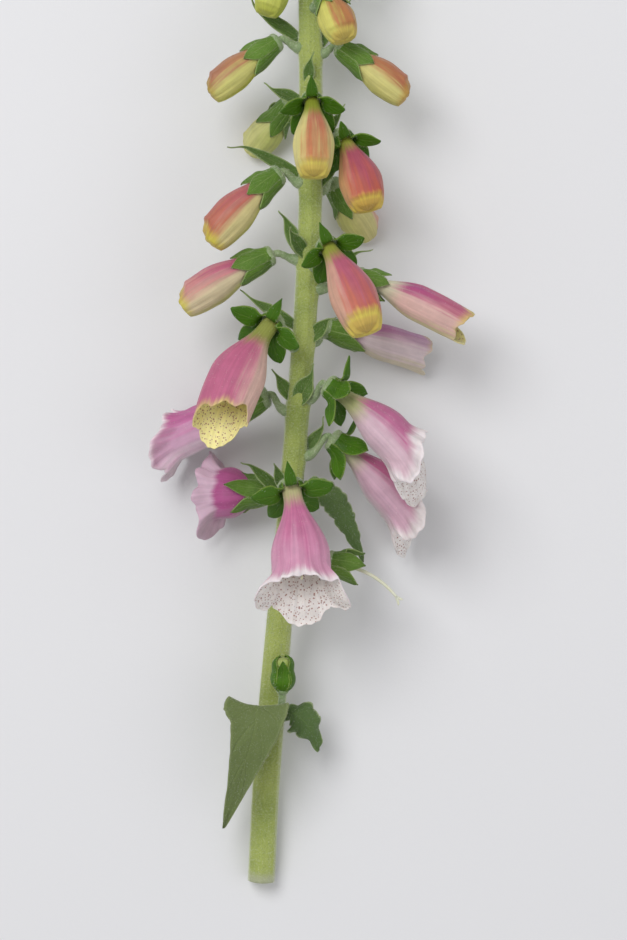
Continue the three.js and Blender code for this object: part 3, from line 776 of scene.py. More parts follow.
@dataclass(frozen=True)
class GreenFinish:
    """A green finish for stems, stalks, sepals, bracts and leaves. Colours are written RRGGBB.

    Attributes:
        green, deep, pale: the flesh, its darker patches and its pale grains and margin.
        under: the underside, or a stem's cut face. vein: the veins.
        foot: a stem's lower end, where it differs.
        patch_scale, grain_scale, net_scale: how many patches, grains and net cells lie in a metre.
        grain, net, vein_share, margin_share: how strong they are.
        veined: whether it has veins. pairs: of side veins. sweep: how far they sweep to the tip.
        surface: the plain numbers. roughness: between its smooth and rough grains. depth: of its relief.
    """

    green: str
    deep: str
    pale: str
    under: str
    vein: str
    patch_scale: float = 90.0
    grain_scale: float = 1500.0
    grain: float = 0.5
    veined: bool = True
    pairs: float = 5.0
    sweep: float = 0.9
    net_scale: float = 900.0
    net: float = 0.3
    vein_share: float = 0.4
    margin_share: float = 0.6
    surface: Surface = field(default_factory=Surface)
    foot: str = ""
    roughness: Turn = (0.5, 0.72)
    depth: float = 0.0004

    def dress(self, name: str, groups: Groups) -> Material:
        """The material."""
        w, shader, where = start_material(name, self.surface)
        flesh = w.group(groups.flesh, {
            "Object": where, "Green": linear(self.green), "Deep": linear(self.deep),
            "Pale": linear(self.pale), "Patch Scale": self.patch_scale, "Grain Scale": self.grain_scale,
            "Grain": self.grain})
        colour, height = flesh["Color"], flesh["Height"]
        _, _, along, side = w.place()
        if self.foot:
            colour = w.mix(w.rise(along, 0.5, 0.12, 0.0, 0.85), colour, linear(self.foot))
        colour = w.mix(w.rise(side, 0.6, 0.9, 0.0, 0.75), colour, linear(self.under))
        if self.veined:
            veins = w.group(groups.veins, {
                "Object": where, "Pairs": self.pairs, "Sweep": self.sweep, "Net Scale": self.net_scale,
                "Net": self.net})
            colour = w.mix(w.times(veins["Vein"], self.vein_share), colour, linear(self.vein))
            colour = w.mix(w.times(veins["Margin"], self.margin_share), colour, linear(self.pale))
            height = w.plus(w.times(height, 0.4), veins["Height"])
        rough = w.rise(flesh["Height"], 0.2, 0.8, *self.roughness)
        finish_surface(w, shader, colour, height, rough, self.depth)
        return bpy.data.materials[name]


@dataclass(frozen=True)
class HairFinish:
    """Pale hairs, a little lighter here and there. Colours are written RRGGBB."""

    light: str
    dark: str

    def dress(self, name: str) -> Material:
        """The material."""
        w, shader, where = start_material(name, Surface(soak=0.3, gloss=0.25))
        patches = w.noise(where, 420.0, 2.0)
        colour = w.mix(w.rise(patches, 0.35, 0.65), linear(self.light), linear(self.dark))
        finish_surface(w, shader, colour, patches, w.rise(patches, 0.3, 0.7, 0.55, 0.7), 0.0001)
        return bpy.data.materials[name]


# ---- hairs


def place_object(name: str, data: bpy.types.ID) -> bpy.types.Object:
    """A new object in the scene, at the origin."""
    made = bpy.data.objects.new(name, data)
    bpy.context.scene.collection.objects.link(made)
    return made


@dataclass(frozen=True)
class HairCoat:
    """Short pointed hairs that grow on a surface where its fuzz says.

    Attributes:
        per_square_mm: how many hairs grow where the fuzz is 1.
        length: a hair's length, in millimetres.
        radius: its radius at the root, in millimetres.
        lean: how far it leans at most, in radians.
        seed: the seed of everything random.
    """

    per_square_mm: float
    length: float
    radius: float = 0.035
    lean: float = 0.7
    seed: int = 1

    def tree(self, name: str) -> tuple[Tree, dict[str, str]]:
        """Builds the node tree.

        Args:
            name: the tree's name.

        Returns:
            The tree, and its inputs' identifiers by name.
        """
        tree = bpy.data.node_groups.new(name, "GeometryNodeTree")
        face = tree.interface
        face.new_socket(name="Geometry", in_out="OUTPUT", socket_type="NodeSocketGeometry")
        face.new_socket(name="Geometry", in_out="INPUT", socket_type="NodeSocketGeometry")
        keys = {}
        for key, kind in (("Density", "Float"), ("Length", "Float"), ("Radius", "Float"), ("Lean", "Float"),
                          ("Seed", "Int"), ("Finish", "Material")):
            keys[key] = face.new_socket(name=key, in_out="INPUT", socket_type=f"NodeSocket{kind}").identifier
        w = Wiring(tree)
        given = w.add("NodeGroupInput").outputs
        fuzz = w.add("GeometryNodeInputNamedAttribute", {"Name": "fuzz"}, data_type="FLOAT")
        density = w.times(fuzz.outputs["Attribute"], given["Density"])
        roots = w.add("GeometryNodeDistributePointsOnFaces",
                      {"Mesh": given["Geometry"], "Density": density, "Seed": given["Seed"]})
        hair = w.add("GeometryNodeMeshCone", {
            "Vertices": 3, "Side Segments": 1, "Radius Bottom": given["Radius"], "Radius Top": 0.0,
            "Depth": given["Length"]}, fill_type="NGON")
        lean = given["Lean"]
        low = w.times(lean, -1.0)
        ends = [w.add("ShaderNodeCombineXYZ", {0: way, 1: way, 2: spin}).outputs[0]
                for way, spin in ((low, -math.pi), (lean, math.pi))]
        euler = w.add("FunctionNodeRandomValue", {0: ends[0], 1: ends[1], "Seed": given["Seed"]},
                      data_type="FLOAT_VECTOR").outputs[0]
        tilt = w.add("FunctionNodeEulerToRotation", {0: euler}).outputs[0]
        turn = w.add("FunctionNodeRotateRotation", {0: roots.outputs["Rotation"], 1: tilt},
                     rotation_space="LOCAL").outputs[0]
        size = w.add("FunctionNodeRandomValue", {2: 0.45, 3: 1.15, "Seed": given["Seed"]}, data_type="FLOAT")
        grown = w.add("GeometryNodeInstanceOnPoints", {
            "Points": roots.outputs["Points"], "Instance": hair.outputs["Mesh"], "Rotation": turn,
            "Scale": size.outputs[1]})
        real = w.add("GeometryNodeRealizeInstances", {"Geometry": grown.outputs[0]})
        dressed = w.add("GeometryNodeSetMaterial", {"Geometry": real.outputs[0], "Material": given["Finish"]})
        w.add("NodeGroupOutput", {0: dressed.outputs[0]})
        return tree, keys

    def grow(self, name: str, carrier: Patch, finish: Material) -> bpy.types.Object:
        """Grows the hairs of a patch as a plain mesh.

        Args:
            name: the new piece's name.
            carrier: the surface that they grow on.
            finish: their material.

        Returns:
            The new object.
        """
        ground = place_object(f"{name}_ground", carrier.to_mesh(f"{name}_ground"))
        tree, keys = self.tree(f"{name}_tree")
        modifier = ground.modifiers.new(name, "NODES")
        modifier.node_group = tree
        for key, value in (("Density", self.per_square_mm / METRES**2), ("Length", self.length * METRES),
                           ("Radius", self.radius * METRES), ("Lean", self.lean), ("Seed", self.seed),
                           ("Finish", finish)):
            modifier[keys[key]] = value
        grown = ground.evaluated_get(bpy.context.evaluated_depsgraph_get())
        mesh = bpy.data.meshes.new_from_object(grown)
        mesh.name = name
        ground.modifiers.remove(modifier)
        bpy.data.objects.remove(ground)
        return place_object(name, mesh)


# ---- the bench


class Slot(Enum):
    """The material slots' names."""

    STEM = "stem"
    SEPAL = "sepal"
    LEAF = "leaf"
    PETAL = "petal"
    BUD = "bud"
    GREEN_BUD = "green_bud"
    PISTIL = "pistil"


@dataclass
class Bench:
    """Turns patches into finished pieces that ride on the part.

    Attributes:
        groups: the shared node groups.
        made: the pieces' names and face counts, in order.
    """

    groups: Groups
    made: list[tuple[str, int]] = field(default_factory=list)

    def hand_over(self, piece: bpy.types.Object, slot: Slot, nodes: Sequence[str]) -> None:
        """Puts a finished object on the part.

        Args:
            piece: the object, at the origin.
            slot: not used.
            nodes: the CAD nodes that it stands for.
        """
        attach(piece, BODY)
        if nodes:
            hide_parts(*nodes)
        count = sum(len(face.vertices) - 2 for face in piece.data.polygons)
        self.made.append((piece.name, count))
        LOG.info("%s: %d triangles", piece.name, count)

    def piece(
        self, name: str, patch: Patch, finish: Material, slot: Slot, nodes: Sequence[str] = ()
    ) -> None:
        """Makes a piece from a patch and hands it over.

        Args:
            name: the piece's name.
            patch: its surface.
            finish: its material.
            slot: not used; it is only passed on to hand_over.
            nodes: the CAD nodes that it stands for.
        """
        mesh = patch.to_mesh(name)
        mesh.materials.append(finish)
        self.hand_over(place_object(name, mesh), slot, nodes)


# ---- the stem


@dataclass
class Stem:
    """The stem, with a low swelling where each stalk leaves it.

    Attributes:
        line: its middle line.
        base_radius, bloom_radius, tip_radius: at the cut end, along the flowers and at the tip.
        swell_from, bloom_start, taper_start, end: the places along it where the radius changes.
        sides, rows: of its mesh.
        joint_rise, joint_length, joint_angle: how high, long and far round a stalk's swelling is.
    """

    line: SmoothLine = SmoothLine((
        (-17.5, 0, 4.3), (-15.4, 40, 9.5), (-10.9, 93, 19.5), (-5.8, 150, 28),
        (-1.6, 202, 31.5), (0.2, 244, 30), (0, 312, 25), (-1, 374, 21.5),
    ))
    base_radius: float = 4.8
    bloom_radius: float = 4.1
    tip_radius: float = 1.1
    swell_from: float = 60.0
    bloom_start: float = 140.0
    taper_start: float = 318.0
    end: float = 374.0
    sides: int = 72
    rows: int = 300
    joint_rise: float = 0.55
    joint_length: float = 3.2
    joint_angle: float = 60.0

    def __post_init__(self) -> None:
        """Keeps a table of places along the stem."""
        self._share = np.linspace(0, 1, 6001)
        self._place = self.line.at(self._share)[:, 1]

    def share_at(self, y: Numbers) -> np.ndarray:
        """The line's share at a place along the stem."""
        return np.interp(y, self._place, self._share)

    def radius(self, y: Numbers) -> np.ndarray:
        """The stem's radius at a place along it."""
        lower = lerp(self.base_radius, self.bloom_radius, smooth(self.swell_from, self.bloom_start, y))
        taper = (np.asarray(y, float) - self.taper_start) / (self.end - self.taper_start)
        return np.where(taper > 0, lerp(self.bloom_radius, self.tip_radius, np.clip(taper, 0, 1)), lower)

    def on_skin(self, y: float, around: float, off: float) -> tuple[np.ndarray, np.ndarray]:
        """A point on or off the stem's skin.

        Args:
            y: the place along the stem.
            around: degrees round it, from the top towards +X.
            off: millimetres out from the skin.

        Returns:
            The point, and the way out from the stem there.
        """
        share = self.share_at(y)
        top, side = cross_frame(self.line.tangent(share), UPWARD)
        out = top * math.cos(math.radians(around)) + side * math.sin(math.radians(around))
        return self.line.at(share) + out * (self.radius(y) + off), out

    def patch(self, joints: Sequence[Turn]) -> Patch:
        """The stem's skin.

        Args:
            joints: the place along and the angle round of each stalk.

        Returns:
            The patch.
        """
        share = np.linspace(0, 1, self.rows)
        centres, along = self.line.at(share), self.line.tangent(share)
        y = centres[:, 1:2]
        angle = np.linspace(0, 360, self.sides, endpoint=False)[None]
        turn = np.radians(angle)
        ribs = 0.1 * np.cos(6 * turn + 0.9 * np.sin(y / 37))
        radii = self.radius(y) + ribs + 0.06 * np.cos(13 * turn + y / 21)
        for place, around in joints:
            swelling = self.joint_rise * peak(y, place, self.joint_length)
            radii = radii + swelling * lobe(apart(angle, around), 0, self.joint_angle)
        rings, where = round_rings(centres, along, radii, self.sides, UPWARD)
        where[..., 2] = y / 10
        cut = [(0.9, 0.1), (0.55, 0.12), (0.2, 0.12)]
        spokes = rings[0] - centres[0]
        ends = np.stack([centres[0] + spokes * size - along[0] * back for size, back in cut[::-1]])
        rings = np.concatenate([ends, rings])
        where = np.concatenate([np.repeat(where[:1], len(cut), 0), where])
        side = np.concatenate([np.ones(len(cut)), np.zeros(self.rows)])
        fuzz = np.concatenate([np.zeros(len(cut)), np.ones(self.rows)])
        return loft(rings, where, side, fuzz).on_surface()


@dataclass(frozen=True)
class Bract:
    """A narrow blade below a flower, folded along its midrib, whose tip runs out in a curled thread.

    Attributes:
        y, around: place along the stem and angle round it. root: how deep in the stem it starts.
        turn, lift: which way it grows at its foot. rise: how much steeper it is at its tip, in degrees.
        length, width, thickness: of the blade. fold: how far its edges stand up. curl: of its thread.
        rows, columns: of its mesh.
    """

    y: float
    around: float
    turn: float
    lift: float
    length: float
    width: float
    fold: float = 0.35
    rise: float = 14.0
    root: float = 1.2
    thickness: float = 0.48
    curl: float = 0.9
    rows: int = 26
    columns: int = 9

    def patch(self, stem: Stem, number: int) -> Patch:
        """The bract's surface.

        Args:
            stem: what it grows from.
            number: its place in the spike, which turns its tip's curl.

        Returns:
            The patch.
        """
        root, out = stem.on_skin(self.y, self.around, -self.root)
        start, end = heading((self.turn, self.lift)), heading((self.turn, self.lift + self.rise))
        s = np.linspace(0, 1, self.rows)[:, None]
        v = np.linspace(-1, 1, self.columns)[None]
        centre = root + start * self.length * (s - s * s / 2) + end * self.length * s * s / 2
        along = unit(lerp(start, end, s))
        top, side = cross_frame(along, 0.3 * out + np.array((0.0, 0.45, 1.1)))
        way = math.radians(GOLDEN_ANGLE * number)
        loop = self.curl * smooth(0.72, 1.0, s) ** 1.5 * 0.16 * self.length
        centre = centre + (top * math.cos(way) + side * math.sin(way)) * loop * (-1) ** number
        outline = [
            (0, 0.62), (0.16, 0.86), (0.34, 1.0), (0.52, 0.86),
            (0.68, 0.46), (0.8, 0.17), (0.9, 0.08), (1, 0.05),
        ]
        half = through(outline, s) * self.width / 2
        wave = 0.1 * np.sin(s * 17 + number) * half * np.abs(v)
        grid = (centre[:, None] + side[:, None] * (half * v)[..., None]
                + top[:, None] * (half * self.fold * np.abs(v) ** 1.4 + wave)[..., None])
        place = blade_place(v[0], s[:, 0], number / 7)
        fuzz = lerp(0.35, 1.0, smooth(0.6, 0.95, np.abs(v))) * (1 - 0.8 * smooth(0.6, 0.8, s))
        return sheet(grid, self.thickness, place, fuzz, -0.12 * peak(v, 0, 0.18) * (1 - s))


# ---- flowers


class Form(Enum):
    """How far a flower has come."""

    OPEN = "open"
    FRESH = "fresh"
    HALF = "half"
    BUD = "bud"
    GREEN = "green"
    SPENT = "spent"


@dataclass(frozen=True)
class Lip:
    """An open corolla's lip. Every number but flare and frill is a share of the corolla's length.

    Attributes:
        upper, lower: how far the mouth reaches above and below.
        side, tongue: how much further its side lobes and its lower lobe reach.
        flare: how far the lobes stand out. frill: how wavy they are. curl: how far they roll back.
    """

    upper: float
    lower: float
    side: float
    tongue: float
    flare: float
    frill: float
    curl: float


LIPS = {
    Form.OPEN: Lip(0.7, 0.84, 0.09, 0.16, 1.0, 0.8, 0.03),
    Form.FRESH: Lip(0.74, 0.88, 0.0, 0.15, -0.1, 0.5, 0.0),
    Form.HALF: Lip(0.88, 0.88, -0.06, 0.12, 0.02, 0.4, 0.0),
}


@dataclass
class Flower:
    """One flower: its stalk, its five sepals and its corolla or bud.

    Attributes:
        name: the name that its CAD nodes start with.
        form: how far it has come.
        seat: x, place along the stem, and height above the stem's middle line, where corolla and calyx meet.
        start, end: the corolla's turn and lift at its base and at its mouth.
        length, girth: of the corolla. upper: where its upper side looks.
        sepal: length, width and spread. stalk: place along the stem and angle round it.
        finish: its colours.
        roll: how far the mouth is turned about the corolla's line, in degrees.
        tongue_turn: how far the lower lip alone is turned, in degrees.
        slant: how much further the mouth reaches on one side than in the middle, as a share of the length.
        lip: its lip, where it isn't the usual one for its form.
        wall, lip_wall: how thick the corolla is at its base and at its lip.
        cup_depth: how far behind the corolla's base the stalk runs into its cup.
        sepal_clear: how far the sepals stand off an open corolla.
        stalk_radius: in its middle. root_rise: how much higher a side flower's stalk leaves the stem.
        flare_start: where the mouth starts to widen, as a share of the way to its edge.
    """

    name: str
    form: Form
    seat: Point
    start: Turn
    end: Turn
    length: float
    girth: float
    upper: Point
    sepal: Point
    stalk: Turn
    finish: PetalFinish
    stem: Stem
    number: int = 0
    roll: float = 0.0
    tongue_turn: float = 0.0
    slant: float = 0.0
    lip: Lip | None = None
    wall: float = 0.8
    lip_wall: float = 0.4
    cup_depth: float = 2.6
    sepal_clear: float = 0.75
    stalk_radius: float = 1.3
    root_rise: float = 4.5
    flare_start: float = 0.76

    def __post_init__(self) -> None:
        """Works out where the flower sits."""
        x, y, rise = self.seat
        self.foot = np.array((x, y, float(self.stem.line.at(self.stem.share_at(y))[2]) + rise))
        self.from_way, self.to_way = heading(self.start), heading(self.end)
        self.lip = self.lip or LIPS.get(self.form)
        self.neck = self.girth * float(self.swelling(np.array(0.0)))
        self.phase = 2.4 * self.number
        raised = self.upper == FACING_TIP and (self.lip is not None or self.form is Form.BUD)
        self.root = (self.stalk[0] + (self.root_rise if raised else 0.0), self.stalk[1])

    def swelling(self, share: np.ndarray) -> np.ndarray:
        """How wide the corolla is at a share of its length, as a share of its girth."""
        if self.form is Form.SPENT:
            return np.ones_like(share)
        if self.lip:
            return lerp(0.33, 1, smooth(0.08, 0.52, share))
        closing = np.sqrt(np.maximum(0, 1 - (np.maximum(share - 0.78, 0) / 0.31) ** 2))
        return lerp(0.35, 1, smooth(0.02, 0.64, share)) * closing

    def section(self, angle: Numbers) -> np.ndarray:
        """How wide the corolla is at an angle from its upper side, as a share."""
        return 1 - (0.17 if self.lip else 0.05) * np.cos(np.radians(angle)) ** 2

    def frame(self, share: np.ndarray) -> tuple[np.ndarray, np.ndarray, np.ndarray, np.ndarray]:
        """The corolla's middle line: its points, the way along it, its upper side and the side of that."""
        share = np.asarray(share, float)[..., None]
        centre = (self.foot + self.from_way * self.length * (share - share * share / 2)
                  + self.to_way * self.length * share * share / 2)
        along = unit(lerp(self.from_way, self.to_way, share))
        return centre, along, *cross_frame(along, np.array(self.upper))

    def at(self, share: np.ndarray, angle: np.ndarray, distance: np.ndarray, roll: float = 0.0) -> np.ndarray:
        """Points at a distance from the middle line, at an angle from the upper side."""
        centre, _, top, side = self.frame(share)
        turn = np.radians(angle + roll)
        return (centre + top * (distance * np.cos(turn))[..., None]
                + side * (distance * np.sin(turn))[..., None])

    def bell_skin(self, u: np.ndarray, angle: np.ndarray) -> np.ndarray:
        """The outer skin of an open corolla, u from 0 at its base to 1 at its edge."""
        around, turn = np.abs(angle), np.radians(angle)
        lip = self.lip
        ripe = self.form is Form.OPEN
        side_lobe = lobe(around, 103, 36) ** 0.5 if ripe else lobe(around, 98, 24) ** 0.8
        side_flare = lobe(around, 92, 50) ** 0.4
        low_lobe = lobe(apart(angle, self.tongue_turn), 180, 50) ** 0.28
        top_lobe = lobe(around, 27, 27)
        fall = smooth(10, 120, around) if ripe else smooth(45, 105, around)
        reach = (lerp(lip.upper, lip.lower, fall) + 0.03 * top_lobe + lip.side * side_lobe
                 + lip.tongue * low_lobe + self.slant * np.sin(turn)
                 - 0.03 * lip.flare * (peak(around, 60, 8) + peak(around, 138, 8)))
        ragged = 0.009 * np.sin(7 * turn + self.phase) + 0.008 * np.sin(19 * turn + 2 * self.phase)
        reach = reach * (1 + lip.frill * ragged)
        flare = lip.flare * (0.12 + 0.24 * top_lobe + 0.5 * side_flare + 0.3 * low_lobe)
        rim = smooth(0.86, 1, u)
        share = u * reach - lip.curl * rim**2 * (0.4 + side_lobe + 0.8 * top_lobe)
        body = self.swelling(share) * self.section(angle)
        spread = flare * smooth(self.flare_start, 1, u) ** 1.4
        pleats = 0.14 * np.cos(9 * turn) * smooth(0.2, 0.4, u) * (1 - smooth(0.7, 0.85, u))
        pleats = pleats * lerp(0.3, 1.0, (1 + np.cos(turn)) / 2)
        frill = (0.5 * np.sin(6 * turn + self.phase) + 0.26 * np.sin(11 * turn + 1.7 * self.phase)
                 + 0.12 * np.sin(23 * turn)) * lip.frill * smooth(0.8, 1, u)
        return self.at(share, angle, self.girth * (body + spread) + pleats + frill, self.roll)

    def bud_skin(self, u: np.ndarray, angle: np.ndarray) -> np.ndarray:
        """The skin of a closed bud, whose lips are folded shut at its end."""
        around, turn = np.abs(angle), np.radians(angle)
        folded = self.form is Form.BUD
        above = 1 - smooth(44, 62, around)
        blunt = lerp(1.0, 0.66, np.clip((u - 0.86) / 0.14, 0, 1))
        slim = 1 - 0.1 * smooth(0.62, 0.9, u) * (1 - above)
        closing = lerp(self.swelling(u), np.minimum(blunt, self.swelling(np.minimum(u, 0.76))), 0.8 * above)
        folds = 0.5 * peak(around, 50, 10) * smooth(0.6, 0.86, u) * (1 - smooth(0.95, 1.0, u))
        ridge = 0.2 * peak(u, 0.85, 0.03) * above - 0.25 * peak(u, 0.91, 0.03) * above
        gap = -0.75 * peak(around, 70, 9) * smooth(0.84, 0.96, u)
        seam = -0.3 * (peak(around, 122, 8) + peak(around, 180, 7)) * smooth(0.45, 0.8, u)
        pleats = 0.1 * np.cos(9 * turn) * smooth(0.12, 0.3, u) * (1 - smooth(0.6, 0.8, u))
        detail = (folds + ridge + gap + seam) * self.girth / 7.6
        if not folded:
            closing, slim, detail = self.swelling(u), 1.0, 0.5 * seam
        share = u * lerp(1.0, 0.95, above * smooth(0.7, 1.0, u)) if folded else u
        return self.at(share, angle, self.girth * closing * slim * self.section(angle) + detail + pleats,
                       self.roll)

    def corolla(self) -> Patch:
        """The open corolla as a thin wall, or the closed bud."""
        return self.bell() if self.lip else self.bud()

    def bell(self, sides: int = 120, outside: int = 56, inside: int = 40) -> Patch:
        """An open corolla, its wall thinner towards the lip."""
        u = 1 - np.linspace(1, 0, outside) ** 1.35
        angle = np.linspace(-180, 180, sides, endpoint=False)
        rows, turns = np.meshgrid(u, angle, indexing="ij")
        outer = self.bell_skin(rows, turns)
        normal = facing(outer, closed=True)
        wall = lerp(self.wall, self.lip_wall, smooth(0.55, 1, u))[:, None, None]
        inner = outer - normal * wall
        kept = np.linspace(outside - 1, np.searchsorted(u, 0.1), inside).round().astype(int)
        rim = (outer[-1] + inner[-1]) / 2 + unit(outer[-1] - outer[-3]) * self.lip_wall * 0.35
        rings = np.concatenate([outer, rim[None], inner[kept]])
        along = np.concatenate([u, [1.0], u[kept]])
        place = ring_place(np.radians(angle), along)
        side = np.concatenate([np.zeros(outside), [0.5], np.ones(inside)])
        fuzz = np.concatenate([np.full(outside, 0.25), [0.6], smooth(0.55, 0.95, u[kept])])
        patch = loft(rings, place, side, fuzz)
        return patch.on_surface(np.where(patch.side > 0.4, 0.3, 0.0))

    def bud(self, sides: int = 72, rows: int = 46, cap: int = 9) -> Patch:
        """A closed bud, its lips folded over its end."""
        angle = np.linspace(-180, 180, sides, endpoint=False)
        rows_u, turns = np.meshgrid(np.linspace(0, 1, rows), angle, indexing="ij")
        skin = self.bud_skin(rows_u, turns)
        last = skin[-1]
        middle, along, _, _ = self.frame(np.array(1.0))
        shrink = np.linspace(1, 0.06, cap + 1)[1:]
        turn = np.radians(angle)
        ends = []
        for size in shrink:
            height = np.cos(turn) * size
            dome = 0.6 * (1 - size**2) - 0.5 * peak(height, 0.12, 0.14) * smooth(0, 0.5, 1 - size)
            ends.append(middle + (last - middle) * size + along * (dome * self.girth / 8)[:, None])
        rings = np.concatenate([skin, np.array(ends)])
        depth = np.concatenate([np.linspace(0, 1, rows), 1 + 0.2 * (1 - shrink)])
        count = len(rings)
        return loft(rings, ring_place(turn, depth), np.zeros(count), np.full(count, 0.3)).on_surface()

    def stalk_patch(self) -> Patch:
        """The stalk, from inside the stem's skin to the cup under the flower."""
        root, out = self.stem.on_skin(*self.root, 0.3)
        end = self.foot - self.from_way * self.cup_depth
        reach = float(np.linalg.norm(root - end))
        towards = unit(end - root)
        knots = [root, root + unit(out + 0.5 * towards) * reach * 0.42, end - self.from_way * reach * 0.3,
                 end]
        s = np.linspace(0, 1, 26)[:, None]
        middle = ((1 - s) ** 3 * knots[0] + 3 * (1 - s) ** 2 * s * knots[1] + 3 * (1 - s) * s * s * knots[2]
                  + s**3 * knots[3])
        middle = np.concatenate([[root - out * 1.2], middle])
        s = np.append(-0.1, s.ravel())
        flare = 0.1 + 0.75 * (1 - np.clip(s / 0.5, 0, 1)) ** 2
        radius = self.stalk_radius * (0.85 + flare) + 0.06 * np.sin(s * 23 + self.phase)
        cup = [(-2.3, self.neck + 0.2), (-1.9, self.neck + 0.85), (-1.2, self.neck + 1.2),
               (-0.5, self.neck + 1.28), (-0.1, self.neck + 1.0), (0.1, self.neck * 0.6)]
        middle = np.concatenate([middle, [self.foot + self.from_way * back for back, _ in cup]])
        radius = np.concatenate([radius, [wide for _, wide in cup]])
        return tube(middle, radius, 20, fuzz=1.0).on_surface()

    def sepal_patch(self, index: int) -> Patch:
        """One sepal: an oval blade round the corolla's base, its edges turned back a little.

        Args:
            index: 0 for the narrow one above, then round the flower.

        Returns:
            The patch.
        """
        length, width, spread = self.sepal
        narrow = index == 0
        open_wide = spread > OPEN_SPREAD
        thin = (0.9, 0.6) if open_wide else (0.95, 0.85)
        long, wide = (length * thin[0], width * thin[1]) if narrow else (length * 1.05, width * 1.15)
        rows, columns = 24, 13
        s = np.linspace(0, 1, rows)
        last = 14 + 66 * spread + (60 if narrow else 0) if open_wide else 6 + 16 * spread
        lean = np.radians(lerp(14, last, smooth(0.1, 0.45, s)) + 34 * (spread - 0.25) * smooth(0.7, 1, s))
        if spread < 0:
            lean = np.radians(lerp(46, -20, smooth(0.0, 0.55, s)))
        step = long / (rows - 1)
        back = -1 + np.concatenate([[0], np.cumsum(np.cos(lean[:-1]) * step)])
        off = self.neck + 0.6 + np.concatenate([[0], np.cumsum(np.sin(lean[:-1]) * step)])
        middle = index * 72
        inside = np.maximum(back, 0) / self.length
        body = self.girth * self.swelling(inside) * self.section(middle) * (back > 0)
        layer = 0.35 * ((index * 2) % 5) / 4
        hug = np.maximum(off, body + (self.sepal_clear if self.lip else 0.5)) + layer
        blunt = [
            (0, 0.6), (0.2, 0.8), (0.42, 1.0), (0.64, 0.95),
            (0.82, 0.68), (0.93, 0.36), (0.98, 0.14), (1, 0.03),
        ]
        sharp = [(0, 0.7), (0.2, 0.92), (0.4, 1.0), (0.62, 0.82), (0.8, 0.5), (0.92, 0.22), (1, 0.03)]
        outline = through(sharp if narrow or not open_wide else blunt, s)
        half = np.minimum(42.0, np.degrees(wide / 2 * outline / hug))
        v = np.linspace(-1, 1, columns)
        share, turns = np.broadcast_arrays(inside[:, None], middle + half[:, None] * v[None])
        turned_back = 0.5 * width / 7 * (0.3 + spread) * v[None] ** 2 * smooth(0.1, 0.5, s)[:, None]
        wave = 0.18 * np.sin(9 * s[:, None] + self.phase + index) * v[None] ** 2
        grid = self.at(share, turns, hug[:, None] * np.ones_like(turns))
        midrib = self.at(share[:, 0], np.full(rows, float(middle)), hug)
        along = unit(np.gradient(midrib, axis=0))
        flat = cross_frame(along, UPWARD)[1]
        flat = flat * np.sign(np.sum(flat * (grid[:, -1] - grid[:, 0]), -1, keepdims=True))
        opened = midrib[:, None] + (flat[:, None] * v[None, :, None]) * (wide / 2 * outline)[:, None, None]
        share_flat = (0.75 * spread if open_wide else 0.5 * narrow) * smooth(0.1, 0.5, s)[:, None, None]
        grid = lerp(grid, opened, share_flat)
        behind = np.minimum(back, 0)[:, None, None] - turned_back[..., None] * (spread + 0.1)
        grid = grid + self.from_way * behind
        relief = wave - 0.16 * peak(v[None], 0, 0.12) * (1 - s[:, None])
        place = blade_place(v, s, index + self.number / 5)
        fuzz = lerp(0.05, 0.8, smooth(0.75, 0.98, np.abs(v)))[None] * np.ones((rows, 1))
        return sheet(grid, 0.5, place, fuzz, relief)

    def sepals(self) -> Patch:
        """All five sepals."""
        return join([self.sepal_patch(index) for index in range(5)]).on_surface()

    def stamens(self) -> Patch:
        """The style with its forked end and four stamens, arched under the corolla's upper side."""
        parts = []
        s = np.linspace(0, 1, 18)
        for turn, reach, start in ((16, 0.6, 0.2), (-16, 0.6, 0.2), (34, 0.52, 0.18), (-34, 0.52, 0.18)):
            share = lerp(start, reach, s)
            high = self.girth * self.swelling(share) * lerp(0.1, 0.62, smooth(0, 0.8, s))
            line = self.at(share, np.full_like(s, turn), high)
            parts.append(tube(line, lerp(0.42, 0.3, s), 8, side=0.2))
            along = unit(line[-1] - line[-2])
            _, _, top, side = self.frame(np.array(reach))
            for way in (-1, 1):
                lean = unit(along * 0.35 + side * way * 0.8 - top * 0.5)
                egg = np.linspace(-0.2, 1, 9)
                wide = 0.85 * np.sqrt(np.maximum(0.02, 1 - ((egg - 0.4) / 0.62) ** 2))
                parts.append(tube(line[-1] + lean * egg[:, None] * 2.4, wide, 10, side=1.0))
        share = lerp(0.15, 0.68, s)
        off = self.girth * self.swelling(share) * lerp(0, 0.74, smooth(0, 0.7, s))
        line = self.at(share, np.zeros_like(s), off)
        parts.append(tube(line, np.full(len(s), 0.35), 8, side=0.2))
        along, (_, _, top, _) = unit(line[-1] - line[-2]), self.frame(np.array(0.68))
        for way in (-1, 1):
            fork = line[-1] + unit(along + top * way * 0.4) * np.linspace(-0.2, 1.7, 6)[:, None]
            parts.append(tube(fork, np.array((0.35, 0.36, 0.38, 0.36, 0.28, 0.1)), 8, side=0.2))
        return join(parts)

    def build_calyx(self, bench: Bench, finishes: Greens) -> Patch:
        """Makes the stalk and the sepals.

        Args:
            bench: where they are made.
            finishes: the green finishes.

        Returns:
            The surface of both.
        """
        stalk, sepals = self.stalk_patch(), self.sepals()
        nodes = [f"{self.name}_calyx"]
        leafy = finishes.closed_sepal if 0 < self.sepal[2] < OPEN_SPREAD else finishes.sepal
        bench.piece(f"{self.name}_stalk", stalk, finishes.stalk, Slot.STEM, nodes)
        bench.piece(f"{self.name}_sepals", sepals, leafy, Slot.SEPAL, nodes)
        return join([stalk, sepals])

